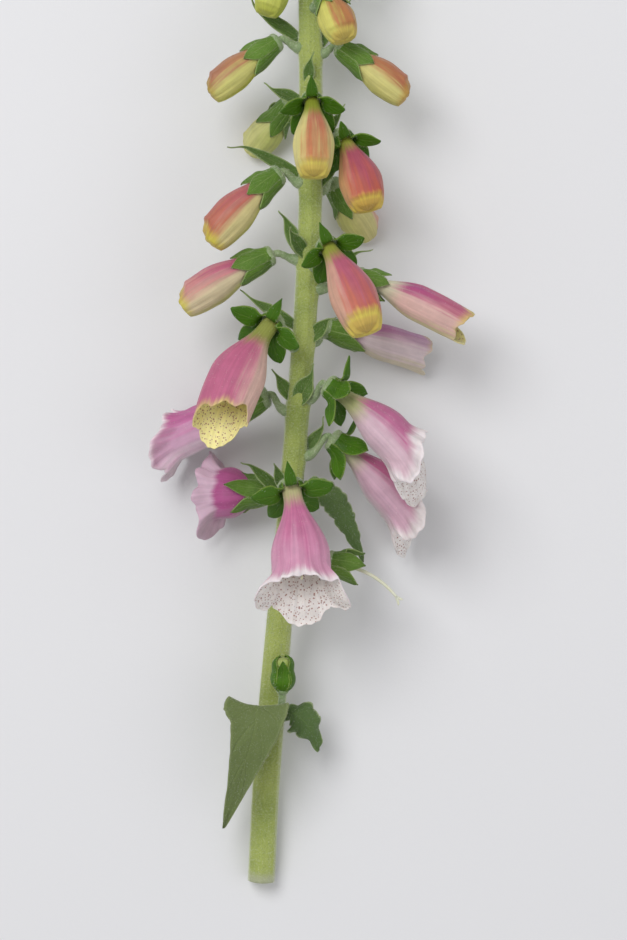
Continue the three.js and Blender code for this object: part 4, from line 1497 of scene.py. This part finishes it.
    def build(self, bench: Bench, finishes: Greens) -> list[Patch]:
        """Makes the flower's pieces.

        Args:
            bench: where they are made.
            finishes: the green finishes.

        Returns:
            The surfaces that hairs grow on: the calyx with its stalk, and the corolla.
        """
        calyx, corolla = self.build_calyx(bench, finishes), self.corolla()
        slot = {Form.BUD: Slot.BUD, Form.GREEN: Slot.GREEN_BUD}.get(self.form, Slot.PETAL)
        finish = self.finish.dress(f"{self.name}_colours", bench.groups)
        bench.piece(f"{self.name}_petals", corolla, finish, slot, [self.node])
        if self.lip:
            bench.piece(f"{self.name}_stamens", self.stamens(), finishes.stamen, Slot.PISTIL)
        return [calyx, corolla]

    @property
    def node(self) -> str:
        """The CAD node of the corolla or bud."""
        return "side_shoot_bud" if self.name == "side_shoot" else f"{self.name}_corolla"


@dataclass
class SpentFlower(Flower):
    """A flower whose corolla has dropped: its calyx, its seed case and its long style.

    Attributes:
        style_length, style_radius: of the style. style_end: its turn and lift at its end.
        sides, rows: of the seed case's mesh.
    """

    sides: int = 24
    rows: int = 20
    style_length: float = 20.0
    style_radius: float = 0.62
    style_end: Turn = (38.0, -8.0)

    def pistil(self) -> Patch:
        """The seed case, and the style with its forked end."""
        s = np.linspace(0, 1, self.rows)
        egg = through([(0, 0.6), (0.3, 0.92), (0.6, 1.0), (0.85, 0.62), (1, 0.25)], s)
        centres, along, _, _ = self.frame(s)
        angle = round_angles(self.sides)
        groove = 1 - 0.1 * peak(np.abs(np.cos(angle)), 0, 0.2)
        radii = self.girth * egg[:, None] * groove[None]
        rings, place = round_rings(centres, along, radii, self.sides, np.array(self.upper))
        case = loft(rings, place, np.full(self.rows, 0.6), np.full(self.rows, 0.6))
        centre, along, _, _ = self.frame(np.array(0.9))
        bend = heading(self.style_end)
        elbow = centre + along * self.style_length / 2
        end = elbow + bend * self.style_length / 2
        t = s[:, None]
        line = (1 - t) ** 2 * centre + 2 * (1 - t) * t * elbow + t**2 * end
        parts = [case, tube(line, lerp(self.style_radius * 1.1, self.style_radius * 0.8, s), 10)]
        for way in (1, -1):
            tip = end + bend * 2.2 + np.array((0.6, 0.8, 0.0)) * way * 1.3
            fork = lerp(end - bend * 0.5, tip, np.linspace(0, 1, 7)[:, None])
            fork = fork + bend * 0.35 * np.sin(np.linspace(0, math.pi, 7))[:, None]
            parts.append(tube(fork, self.style_radius * np.array((0.8, 0.82, 0.8, 0.76, 0.7, 0.6, 0.3)), 8))
        return join(parts).on_surface()

    def build(self, bench: Bench, finishes: Greens) -> list[Patch]:
        """Makes the spent flower's pieces, and returns the surfaces that hairs grow on."""
        calyx = self.build_calyx(bench, finishes)
        nodes = [f"{self.name}_pistil"]
        bench.piece(f"{self.name}_seed_case", self.pistil(), finishes.style, Slot.PISTIL, nodes)
        return [calyx]


# ---- the tip


@dataclass(frozen=True)
class TipBuds:
    """Small green buds packed round the tip, each wrapped in its sepals, a golden angle from the last.

    Attributes:
        count: how many there are. start: the lowest one's place along the stem.
        first_angle: the highest one's angle round it. sides, rows: of each one's mesh.
    """

    count: int = 13
    start: float = 347.0
    first_angle: float = 60.0
    sides: int = 40
    rows: int = 22

    def patch(self, stem: Stem) -> Patch:
        """All the buds."""
        return join([self._bud(stem, index) for index in range(self.count)])

    def _bud(self, stem: Stem, index: int) -> Patch:
        """One bud, ribbed where its sepals meet."""
        age = 1 - index / self.count
        y = lerp(stem.end - 2, self.start, age**1.15)
        length, width = lerp(4.5, 10.5, age), lerp(1.1, 2.9, age)
        point, out = stem.on_skin(y, self.first_angle + index * GOLDEN_ANGLE, -0.6)
        way = unit(out * lerp(0.35, 1, age) + np.array((0.0, 0.75, 0.0)))
        s = np.linspace(0, 1, self.rows)
        outline = through([(0, 0.6), (0.22, 0.9), (0.48, 1.0), (0.72, 0.72), (0.88, 0.36), (1, 0.06)], s)
        centres = point + way * (length * s)[:, None] + out * (0.1 * length * s**2)[:, None]
        angle = round_angles(self.sides)[None]
        seam = np.abs(np.cos(2.5 * angle + 0.9 * s[:, None]))
        radii = width * outline[:, None] * (1 - 0.16 * peak(seam, 0, 0.3))
        rings, place = round_rings(centres, np.broadcast_to(way, centres.shape), radii, self.sides,
                                   np.array((0.0, 1.0, 0.1)))
        place[..., 0] = 1 - 1.1 * np.clip(seam / 0.6, 0, 1)
        place[..., 1] = s[:, None]
        place[..., 2] = index
        return loft(rings, place, np.zeros(self.rows), np.full(self.rows, 0.8))


# ---- leaves


@dataclass(frozen=True)
class Leaf:
    """A leaf along its midrib, with rounded teeth and veins that dent its upper face.

    Attributes:
        name: its CAD node.
        midrib: the points that it follows. width: at its widest.
        foot, belly, power: how its outline starts, where it is widest and how it narrows.
        trough: how far its edges stand up. across: which way its width lies at its foot and at its point.
        teeth: on each edge. bite: how deep they are, as a share of the half width. pairs: of side veins.
        thickness: of the blade. rows, columns: of its mesh. drape: how far its edges wave.
    """

    name: str
    midrib: SmoothLine
    width: float
    foot: float
    belly: float
    power: float
    trough: float
    across: tuple[Point, Point]
    teeth: int
    pairs: int = 6
    bite: float = 0.11
    thickness: float = 0.55
    rows: int = 110
    columns: int = 33
    drape: float = 0.35

    def outline(self, s: np.ndarray) -> np.ndarray:
        """The leaf's half width at a share of its midrib, as a share of its widest."""
        lower = lerp(self.foot, 1, smooth(0, self.belly, s))
        past = np.clip((s - self.belly) / (1 - self.belly), 0, 1)
        return np.where(s < self.belly, lower, lerp(1, 0.04, past**self.power))

    def patch(self) -> Patch:
        """The leaf's surface."""
        s = np.linspace(0, 1, self.rows)
        v = np.linspace(-1, 1, self.columns)
        along = self.midrib.tangent(s)
        first, last = (np.array(p) for p in self.across)
        side, _ = cross_frame(along, lerp(first, last, s[:, None]))
        top = np.cross(side, along)
        tooth = 1 - np.abs((s * self.teeth) % 1 - 0.42) * 2 / 1.16
        toothed = smooth(0.04, 0.16, s) * (1 - smooth(0.93, 1, s))
        bite = 1 - self.bite * (1 - np.sqrt(np.clip(tooth, 0, 1))) * toothed
        half = self.width / 2 * self.outline(s) * bite
        away = np.abs(v)[None]
        phase = (s[:, None] * self.pairs - away * 1.1) % 1
        ribs = peak(np.abs(phase - 0.5), 0, 0.1) * smooth(1.0, 0.8, 1 - away) * (1 - away**3)
        midrib = peak(away, 0, 0.06) * (1 - 0.6 * s[:, None])
        wave = self.drape * np.sin(self.teeth * math.pi * s[:, None] + np.sign(v)[None]) * away**2.5
        pillow = 0.12 * np.abs(np.sin(math.pi * (phase - 0.5))) * np.sin(math.pi * np.clip(away, 0, 1))
        grid = (self.midrib.at(s)[:, None] + side[:, None] * (half[:, None] * v[None])[..., None]
                + top[:, None] * (half[:, None] * self.trough * v[None] ** 2)[..., None])
        fuzz = lerp(0.55, 1.0, smooth(0.85, 1.0, away)) * np.ones((self.rows, 1))
        relief = wave + pillow - 0.15 * ribs - 0.35 * midrib
        return sheet(grid, self.thickness, blade_place(v, s, 0.0), fuzz, relief).on_surface()


# ---- the spike


@dataclass
class Greens:
    """The green finishes and the pale ones, each made once.

    Attributes:
        groups: the shared node groups.
    """

    groups: Groups

    def __post_init__(self) -> None:
        """Makes the materials."""
        downy = Surface(soak=0.06, down=0.4, down_tint="eef2dc", gloss=0.22)
        waxy = Surface(soak=0.03, gloss=0.25)
        fuzzy = Surface(soak=0.06, down=0.9, down_tint="eef2dc", gloss=0.2)
        self.stem = GreenFinish(
            "a6b25e", "76873c", "bcc688", "d5dab4", "c3cd9c", 60, 1500, 0.7, veined=False, surface=fuzzy,
            foot="aeb294"
        ).dress("stem_skin_green", self.groups)
        self.stalk = GreenFinish(
            "95a67c", "74905c", "c2cbad", "bcc6a6", "bcc6a6", 160, 1500, 0.7, veined=False, surface=downy
        ).dress("stalk_grey_green", self.groups)
        self.sepal = GreenFinish(
            "467404", "2c5202", "8fa34c", "3a6406", "6c8f34", 140, 2200, 0.2, pairs=4.0, sweep=2.6,
            net=0.25, vein_share=0.3, margin_share=0.45, surface=waxy, roughness=(0.34, 0.55)
        ).dress("sepal_green", self.groups)
        self.closed_sepal = GreenFinish(
            "5f842a", "466a1c", "9fb070", "527226", "8fa85c", 140, 2000, 0.35, pairs=4.0, sweep=2.6,
            net=0.25, vein_share=0.35, margin_share=0.5, surface=Surface(soak=0.05, down=0.12, gloss=0.3)
        ).dress("closed_sepal_green", self.groups)
        self.bract = GreenFinish(
            "55762c", "3d5c1a", "a6b37c", "84945c", "8fa062", 120, 2000, 0.35, pairs=4.0, sweep=2.6,
            net=0.3, vein_share=0.35, margin_share=0.6,
            surface=Surface(soak=0.05, down=0.2, down_tint="eef2dc", gloss=0.35)
        ).dress("bract_green", self.groups)
        self.tip = GreenFinish(
            "7a9848", "5c7c32", "c2cda8", "8fa874", "b4c293", 200, 2200, 0.4, pairs=0.0, sweep=0.0, net=0.1,
            vein_share=0.1, margin_share=0.8, surface=downy
        ).dress("tip_bud_green", self.groups)
        self.leaf = GreenFinish(
            "526330", "3e4e22", "828e5e", "707f4c", "758348", 70, 1700, 0.75, pairs=6.0, sweep=1.1, net=0.4,
            vein_share=0.1, margin_share=0.6, surface=downy, depth=0.0006
        ).dress("leaf_grey_green", self.groups)
        self.dark_leaf = GreenFinish(
            "3c5c20", "2a4616", "aab88c", "5c7640", "6f8a4e", 90, 1800, 0.3, pairs=7.0, sweep=1.1, net=0.8,
            vein_share=0.3, margin_share=0.9, surface=Surface(soak=0.05, down=0.2, gloss=0.3), depth=0.0006
        ).dress("leaf_dark_green", self.groups)
        self.stamen = GreenFinish(
            "e9e6c8", "dcd6a8", "f4f1e0", "e6cf6a", "e9e6c8", 500, 3000, 0.3, veined=False,
            surface=Surface(soak=0.3)
        ).dress("stamen_cream", self.groups)
        self.style = GreenFinish(
            "e9e9d2", "dbdebb", "f4f4e6", "b5c04e", "e9e9d2", 300, 2500, 0.3, veined=False,
            surface=Surface(soak=0.3)
        ).dress("style_cream", self.groups)
        self.down = HairFinish("e9ecdf", "d3dac2").dress("pale_down")


def blooms() -> list[dict]:
    """The flowers from the foot of the spike to its tip.

    Returns:
        Each flower's values by name, with its bract's place along the stem, angle round it, turn, lift,
        length and width.
    """
    open_, fresh, half, bud, green = Form.OPEN, Form.FRESH, Form.HALF, Form.BUD, Form.GREEN
    up, tip = FACING_UP, FACING_TIP
    return [
        dict(name="bell_front", form=open_, seat=(-6.6, 141, 15), start=(12, 28), end=(-2, 5), length=51,
             girth=10.2, upper=up, sepal=(13, 6.6, 1), stalk=(133, 0), bract=(140, -55, -160, 18, 12, 4),
             finish=PetalFinish("c8749c", "d8aabf", "e0cbd2", "b9b483", "efe4e6", "efe4e6", "f6eeea",
                 (-0.4, 0.9), crown_tip="cf94b0", neck_end=0.19, edge_start=0.9, freckles=1.6)),
        dict(name="bell_left_low", form=open_, seat=(-14.5, 139, -6.5), start=(-92, -12), end=(-80, -42),
             length=29, girth=9.2, upper=tip, sepal=(13.5, 6.4, 0.35), stalk=(131, -125),
             bract=(138, -90, -133, 8, 20, 4.2), lip=Lip(0.78, 0.8, 0.14, 0.14, 1.3, 0.6, 0.0), roll=-70,
             finish=PetalFinish("b0588c", "c08cab", "b898aa", "a9aa78", "cfb0c2", "cfb0c2", "e4d3da",
                 (-0.3, 0.6), neck_end=0.12, edge_start=0.74, freckles=0.9)),
        dict(name="bell_right_low", form=open_, seat=(9, 157, -3), start=(52, -6), end=(33, -8),
             length=47.5, girth=9.2, upper=tip, sepal=(13, 6.4, 0.5), stalk=(148, 85),
             bract=(153, 95, 142, -6, 15, 4), roll=4, tongue_turn=58,
             lip=Lip(0.68, 0.86, 0.08, 0.18, 1.0, 1.0, 0.02),
             finish=PetalFinish("b9628a", "cfa9ba", "e0d2d6", "c6c49c", "ece2e2", "ece2e2", "f6efec",
                 (0.35, 0.95), neck_end=0.26, edge_start=0.84, freckles=1.7, crown_turn=28)),
        dict(name="bell_right_high", form=open_, seat=(7.6, 175.5, 10.5), start=(57, 14), end=(33, 5),
             length=49.5, girth=9.4, upper=tip, sepal=(13, 6.4, 0.55), stalk=(168, 60),
             bract=(171, -5, 152, 20, 15, 7), roll=-10, tongue_turn=58, slant=0.035,
             lip=Lip(0.7, 0.84, 0.1, 0.2, 1.0, 1.0, 0.03),
             finish=PetalFinish("bb6a92", "d6b8c4", "e2d5d8", "b0b27c", "ece2e4", "ece2e4", "f6efec",
                 (0.45, 1.0), neck_end=0.33, edge_start=0.84, freckles=1.7, crown_turn=38)),
        dict(name="bell_left_far", form=open_, seat=(-17, 172.5, -6.5), start=(-66, -10), end=(-62, -26),
             length=48, girth=9.2, upper=tip, sepal=(13, 6.4, 0.3), stalk=(163, -95),
             bract=(172, -75, -148, 10, 12, 4.6), roll=-15,
             finish=PetalFinish("c06a9c", "d3a8c2", "e6d3dc", "bfbd94", "ece0e4", "ece0e4", "f3ecec",
                 (-0.1, 0.7), neck_end=0.14, edge_start=0.92, freckles=0.9)),
        dict(name="bell_left_front", form=fresh, seat=(-13.3, 198, 10.5), start=(-38, 30), end=(-14, 5),
             length=50, girth=9.8, upper=up, sepal=(13, 7, 0.85), stalk=(190, -48),
             bract=(197, -92, -121, 4, 23, 4.5), slant=0.055,
             finish=PetalFinish("bd6686", "d8b4a8", "dccfa0", "93994c", "ddd07c", "ddd07c", "f6eaa0",
                 (0.1, 0.85), crown_turn=28, neck_end=0.3, edge_start=0.965, freckles=1.7)),
        dict(name="bell_right_far", form=half, seat=(6.8, 196.8, -9.7), start=(78, -16), end=(72, -34),
             length=42, girth=7.8, upper=tip, sepal=(14, 7, 0.25), stalk=(188, 110),
             bract=(193, 62, 139, 12, 12, 5), roll=10, tongue_turn=15,
             finish=PetalFinish("ae5c92", "dac8cc", "d9cdb2", "a8788c", "d4c690", "d4c690", "e6dfcc",
                 (0.05, 0.85), crown_tip="b888ac", neck_end=0.3, edge_start=0.955, freckles=0.6)),
        dict(name="bell_right_upper", form=half, seat=(18, 214, 3.6), start=(68, 6), end=(60, 2), length=43,
             girth=7.6, upper=tip, sepal=(11, 5.6, 0.2), stalk=(206, 78), bract=(212, 112, 128, -8, 24, 4),
             roll=8, tongue_turn=20, lip=Lip(0.92, 0.9, -0.025, 0.1, -0.22, 0.25, 0.0),
             finish=PetalFinish("aa4a82", "dab4ac", "dcd29c", "d6d2b6", "d8c274", "d8c274", "e6dc98",
                 (0.25, 0.8), crown_turn=8, crown_tip="b8607c", neck_end=0.36, edge_start=0.94,
                 freckles=1.3)),
        dict(name="bud_right_front", form=bud, seat=(6, 224.5, 13), start=(31, 34), end=(18, 10), length=37,
             girth=8.2, upper=up, sepal=(11.5, 6.6, 0.75), stalk=(218, 30),
             bract=(222, -25, -146, 20, 13, 5),
             finish=PetalFinish("b85f78", "d4a690", "d4c686", "989f3e", "d9c65c", "b98256", "e0d8a0",
                 (0.2, 0.9), crown_turn=-26, crown_tip="bf6a58", neck_end=0.2, edge_start=0.84,
                 face_start=0.93)),
        dict(name="bud_left_low", form=bud, seat=(-15, 221.5, 3), start=(-66, 4), end=(-52, -4),
             length=34.5, girth=7.2, upper=tip, sepal=(13.5, 7.6, 0.15), stalk=(216, -80),
             bract=(223, -95, -156, 0, 17, 5),
             finish=PetalFinish("bb6080", "d4c4a0", "cbc67c", "9ca34c", "cfc45c", "b8855c", "e0d8a0",
                 (0.1, 0.85), crown_turn=-25, crown_tip="c98a84", neck_end=0.14, edge_start=0.9,
                 face_start=0.94)),
        dict(name="bud_left_mid", form=bud, seat=(-12, 249.5, 5), start=(-52, 8), end=(-36, 2), length=33,
             girth=7.6, upper=tip, sepal=(13, 7.6, 0.25), stalk=(243, -70),
             bract=(250, -100, -117, 0, 29, 4.2),
             finish=PetalFinish("b8666a", "d3c68c", "cdc770", "98a03e", "cfc250", "b57a46", "e0d8a0",
                 (0.0, 0.75), crown_turn=-25, crown_tip="b96c54", neck_end=0.18, edge_start=0.89,
                 face_start=0.94)),
        dict(name="bud_right_back", form=bud, seat=(8.5, 247.5, -12.6), start=(38, -36), end=(34, -36),
             length=25, girth=6.8, upper=tip, sepal=(12, 6.6, 0.2), stalk=(241, 125),
             bract=(247, 85, 146, -4, 16, 4.4),
             finish=PetalFinish("d79f9a", "cfc786", "cbc97c", "b3b866", "d0c078", "cda090", "e0d8a0",
                 (0.45, 0.95), crown_turn=20, neck_end=0.15, edge_start=0.93, face_start=0.95)),
        dict(name="bud_right_mid", form=bud, seat=(11.5, 262.5, 9), start=(26, 20), end=(12, 4), length=28,
             girth=7.6, upper=up, sepal=(11.5, 6.6, 0.6), stalk=(256, 55), bract=(263, 80, 140, 8, 15, 4),
             finish=PetalFinish("ae5468", "cf9c6c", "d0c66a", "959c3a", "d6bc54", "b37a48", "e0d8a0",
                 (0.0, 0.8), crown_turn=-26, crown_tip="b95f4c", neck_end=0.2, edge_start=0.85,
                 face_start=0.93)),
        dict(name="bud_front", form=bud, seat=(0.7, 275.5, 13), start=(3, 38), end=(0, 8), length=31,
             girth=7.2, upper=up, sepal=(12, 6.6, 0.6), stalk=(269, 0), bract=(283, -20, 172, 24, 11, 4),
             finish=PetalFinish("b86a58", "d6cc84", "c6c364", "8f9a30", "cfc25a", "c59a58", "e0d8a0",
                 (0.45, 1.15), crown_turn=-12, crown_tip="bd7850", neck_end=0.26, edge_start=0.88,
                 face_start=0.94)),
        dict(name="bud_left_back", form=bud, seat=(-7.5, 276.5, -12.9), start=(-42, -30), end=(-40, -34),
             length=23.5, girth=6.4, upper=tip, sepal=(12, 7, 0.15), stalk=(270, -120),
             bract=(276, -78, -112, 4, 15, 4.6),
             finish=PetalFinish("d3cb84", "d0cf88", "c9ce7c", "b0bd62", "d0cf7c", "d0c47c", "e0d8a0",
                 (0.35, 0.95), neck_end=0.15, edge_start=0.9, face_start=0.95)),
        dict(name="bud_right_high", form=bud, seat=(11.6, 294.5, 4), start=(56, 6), end=(48, 0), length=28,
             girth=6.6, upper=tip, sepal=(13, 7.4, 0.15), stalk=(289, 80), bract=(296, 100, 154, -8, 20, 5),
             finish=PetalFinish("b87e56", "d2ca80", "c8c268", "9aa240", "bf9a4c", "a5705a", "e0d8a0",
                 (0.25, 0.9), crown_turn=24, crown_tip="b06c4c", neck_end=0.3, edge_start=0.9,
                 face_start=0.93)),
        dict(name="bud_left_high", form=bud, seat=(-12.6, 296.5, 4), start=(-54, 6), end=(-48, 0),
             length=28.5, girth=6.4, upper=tip, sepal=(13, 7.4, 0.2), stalk=(291, -78),
             bract=(298, -108, -125, -4, 26, 4.6),
             finish=PetalFinish("b5825a", "cdc878", "c4c450", "9caa40", "b8a54c", "a5785c", "e0d8a0",
                 (0.2, 0.85), crown_turn=-24, crown_tip="ac7458", neck_end=0.3, edge_start=0.93,
                 face_start=0.95)),
        dict(name="bud_front_high", form=bud, seat=(4.4, 314, 12), start=(26, 36), end=(20, 14), length=22,
             girth=6.6, upper=up, sepal=(11.5, 6.8, 0.3), stalk=(309, 25), bract=(319, 10, 178, 20, 12, 4),
             finish=PetalFinish("b57a4c", "cdc868", "c0c258", "a0ac3e", "c9b85c", "c4a858", "e0d8a0",
                 (0.4, 0.95), crown_turn=-38, neck_end=0.35, edge_start=0.9, face_start=0.95)),
        dict(name="bud_left_top", form=bud, seat=(-8.6, 323, 7), start=(-26, 14), end=(-18, 2), length=18.5,
             girth=5.8, upper=up, sepal=(11, 6.4, 0.15), stalk=(321, -55), bract=(328, -92, -128, 0, 16, 4),
             finish=PetalFinish("bcc05a", "b8c052", "aebc4c", "9cae44", "b6bc52", "b6b850", "e0d8a0",
                 (0.2, 0.8), neck_end=0.3, edge_start=0.9, face_start=0.96)),
        dict(name="bud_right_top", form=green, seat=(8.2, 329.5, 2.5), start=(58, 2), end=(50, -4),
             length=17.5, girth=5, upper=tip, sepal=(10.5, 6, 0.1), stalk=(324, 85),
             bract=(331, 100, 140, -4, 15, 3.8),
             finish=PetalFinish("aebf58", "a9bd54", "a3b94e", "93ad48", "b5c06a", "b5c06a", "e0d8a0")),
        dict(name="bud_back_top", form=green, seat=(-5.4, 337, -7), start=(-36, -26), end=(-34, -26),
             length=15.5, girth=4.6, upper=tip, sepal=(10, 5.6, 0.1), stalk=(332, -140),
             bract=(338, -95, -130, 0, 13, 3.6),
             finish=PetalFinish("a3b858", "9fb554", "99b24e", "8aa848", "adbb6a", "adbb6a", "e0d8a0")),
        dict(name="bud_front_top", form=green, seat=(1.8, 342, 10.5), start=(14, 30), end=(10, 8),
             length=14, girth=4.4, upper=up, sepal=(9.5, 5.4, 0.1), stalk=(337, 10),
             bract=(344.5, -20, 176, 24, 10, 3.6),
             finish=PetalFinish("a0b658", "9bb354", "95b04e", "86a648", "a9b96a", "a9b96a", "e0d8a0")),
    ]


LEAVES = (
    Leaf(
        "leaf_hanging",
        SmoothLine(((-17.9, 55.5, 16.5), (-19.6, 59, 23), (-18.8, 64, 30), (-19, 58, 33.5), (-23.5, 42, 30.5),
                    (-30.6, 20.5, 21))),
        width=23, foot=0.2, belly=0.46, power=1.15, trough=-0.1, across=((0.8, 0.1, 0.6), (1.4, -0.4, -0.3)),
        teeth=16, pairs=7, bite=0.035,
    ),
    Leaf(
        "leaf_side",
        SmoothLine(((-9.3, 60, 15.3), (-5, 60.5, 19.5), (-0.5, 56, 20), (3.2, 47.6, 16.5))),
        width=13, foot=0.3, belly=0.5, power=1.3, trough=0.3, across=((0.1, 1, 0), (1.2, 0.2, -0.2)),
        teeth=8, pairs=5, rows=70, columns=25, drape=1.0, bite=0.13,
    ),
    Leaf(
        "leafy_bract",
        SmoothLine(((-2.6, 140.5, 29.6), (1.4, 141.5, 31), (8.5, 136, 27), (14, 126, 22), (19, 114.5, 17.5))),
        width=9.4, foot=0.4, belly=0.5, power=1.5, trough=0.25, across=((0, 1, 0), (1.4, 0.1, 0)),
        teeth=14, pairs=7, rows=110, columns=19, drape=0.45, bite=0.2,
    ),
)


class Spike:
    """The whole flower spike."""

    def __init__(self, bench: Bench) -> None:
        """Reads the flowers, and makes the finishes."""
        self.bench = bench
        self.greens = Greens(bench.groups)
        self.stem = Stem()
        self.bracts: list[Bract] = []
        self.flowers: list[Flower] = []
        for number, spec in enumerate(blooms()):
            self.bracts.append(Bract(*spec.pop("bract")))
            self.flowers.append(Flower(stem=self.stem, number=number, **spec))
        plain = self.flowers[-1].finish
        self.flowers.append(SpentFlower(
            name="spent", form=Form.SPENT, seat=(8, 114.5, 4), start=(80, 2), end=(72, -2), length=8,
            girth=2.9, upper=FACING_TIP, sepal=(11.5, 7, 0.35), stalk=(107, 70), finish=plain,
            stem=self.stem, number=22))
        self.flowers.append(Flower(
            name="side_shoot", form=Form.GREEN, seat=(-9.6, 70.5, 12), start=(176, 14), end=(184, 12),
            length=10.5, girth=3, upper=FACING_UP, sepal=(13, 8.2, -0.12), stalk=(63, 25), finish=plain,
            stem=self.stem, number=23))

    def build(self) -> None:
        """Makes every piece, from the stem to the hairs."""
        bench, greens = self.bench, self.greens
        stem = self.stem.patch([flower.root for flower in self.flowers])
        bench.piece("stem_skin", stem, greens.stem, Slot.STEM, ["stem"])
        bracts = join([bract.patch(self.stem, n) for n, bract in enumerate(self.bracts)]).on_surface()
        bench.piece("stem_bracts", bracts, greens.bract, Slot.LEAF, ["stem"])
        tip = TipBuds().patch(self.stem).on_surface()
        bench.piece("tip_buds", tip, greens.tip, Slot.GREEN_BUD, ["stem"])
        calyces, corollas = [], []
        for flower in self.flowers:
            grown = flower.build(bench, greens)
            calyces.append(grown[0])
            if flower.lip:
                corollas.append(grown[1])
        leaves = []
        for leaf in LEAVES:
            leaves.append(leaf.patch())
            finish = greens.leaf if leaf.name == "leaf_hanging" else greens.dark_leaf
            bench.piece(f"{leaf.name}_blade", leaves[-1], finish, Slot.LEAF, [leaf.name])
        coats = (
            ("stem_down", stem, HairCoat(3.6, 0.85, seed=3), Slot.STEM, ["stem"]),
            ("bract_down", bracts, HairCoat(3.0, 0.6, seed=5), Slot.LEAF, ["stem"]),
            ("tip_down", tip, HairCoat(3.0, 0.6, seed=7), Slot.GREEN_BUD, ["stem"]),
            ("calyx_down", join(calyces), HairCoat(3.2, 0.6, seed=11), Slot.SEPAL, []),
            ("leaf_down", join(leaves), HairCoat(3.2, 0.55, seed=13), Slot.LEAF, []),
            ("petal_down", join(corollas), HairCoat(0.9, 0.9, radius=0.03, seed=17), Slot.PETAL, []),
        )
        for name, patch, coat, slot, nodes in coats:
            bench.hand_over(coat.grow(name, patch, greens.down), slot, nodes)


# ---- the studio


LAMPS = (  # each one's name, its place and size in metres, and its power in watts
    ("key", (-0.55, 0.6, 1.45), 1.0, 14.8),
    ("fill", (0.95, -0.35, 1.2), 1.3, 3.0),
)


@dataclass(frozen=True)
class Studio:
    """A pale floor, soft light and a camera that looks straight down on the spike.

    Attributes:
        aim: the middle of the view, in millimetres. camera_above: how high the camera is above it.
        view_height: what the view's long side takes in, in millimetres.
        sensor: the camera's, in millimetres. floor_size, lamps_aim: in metres.
    """

    aim: Point = (3.165, -40.23, 33.0)
    camera_above: float = 1200.0
    view_height: float = 329.0
    sensor: float = 36.0
    floor_size: float = 8.0
    lamps_aim: Point = (0.0, -0.04, 0.0)

    def build(self) -> None:
        """Sets everything up."""
        bpy.context.scene.view_settings.view_transform = "Standard"
        self._floor()
        self._lights()
        self._camera()

    def _floor(self) -> None:
        """The pale surface, with the faintest mottling."""
        half = self.floor_size / 2
        mesh = bpy.data.meshes.new("floor")
        points = [(-half, -half, 0), (half, -half, 0), (half, half, 0), (-half, half, 0)]
        mesh.from_pydata(points, [], [(0, 1, 2, 3)])
        w, shader, where = start_material("floor_pale", Surface(gloss=0.1))
        mottle = w.noise(where, 6.0, 3.0)
        colour = w.mix(mottle, linear("e6e6e8"), linear("e9e9eb"))
        grain, rough = w.noise(where, 900.0, 2.0), w.rise(mottle, 0.3, 0.7, 0.8, 0.9)
        finish_surface(w, shader, colour, grain, rough, 0.00005)
        mesh.materials.append(bpy.data.materials["floor_pale"])
        place_object("floor", mesh)

    def _lights(self) -> None:
        """A bright sky all round and two large soft lights."""
        world = bpy.data.worlds.new("soft_sky")
        bpy.context.scene.world = world
        world.use_nodes = True
        w = Wiring(world.node_tree)
        sky = w.add("ShaderNodeBackground", {"Color": linear("f7f7f9"), "Strength": SKY_STRENGTH})
        w.add("ShaderNodeOutputWorld", {0: sky.outputs[0]})
        for name, place, size, power in LAMPS:
            light = bpy.data.lights.new(name, "AREA")
            light.shape, light.size, light.energy = "DISK", size, power
            lamp = place_object(name, light)
            lamp.location = place
            way = np.array(place) - np.array(self.lamps_aim)
            tilt = math.acos(way[2] / np.linalg.norm(way))
            lamp.rotation_euler = (tilt, 0.0, math.atan2(way[1], way[0]) + math.pi / 2)

    def _camera(self) -> None:
        """The camera, whose long side takes in the view's height."""
        data = bpy.data.cameras.new("camera")
        data.sensor_fit, data.sensor_width = "AUTO", self.sensor
        data.lens = self.sensor * self.camera_above / self.view_height
        data.clip_start, data.clip_end = 0.05, 20.0
        camera = place_object("camera", data)
        x, y, z = self.aim
        camera.location = (x * METRES, y * METRES, (z + self.camera_above) * METRES)
        bpy.context.scene.camera = camera


def corners(bounds: tuple) -> list[list[float]]:
    """A box's two corners as plain lists."""
    return [[float(value) for value in corner] for corner in bounds]


def main() -> None:
    """Builds the dressed spike, its floor, its light and its camera."""
    logging.basicConfig(level=logging.INFO, format="%(name)s: %(message)s")
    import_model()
    bench = Bench(Groups())
    Spike(bench).build()
    Studio().build()
    LOG.info("%d pieces, %d triangles", len(bench.made), sum(count for _, count in bench.made))


if __name__ == "__main__":
    main()
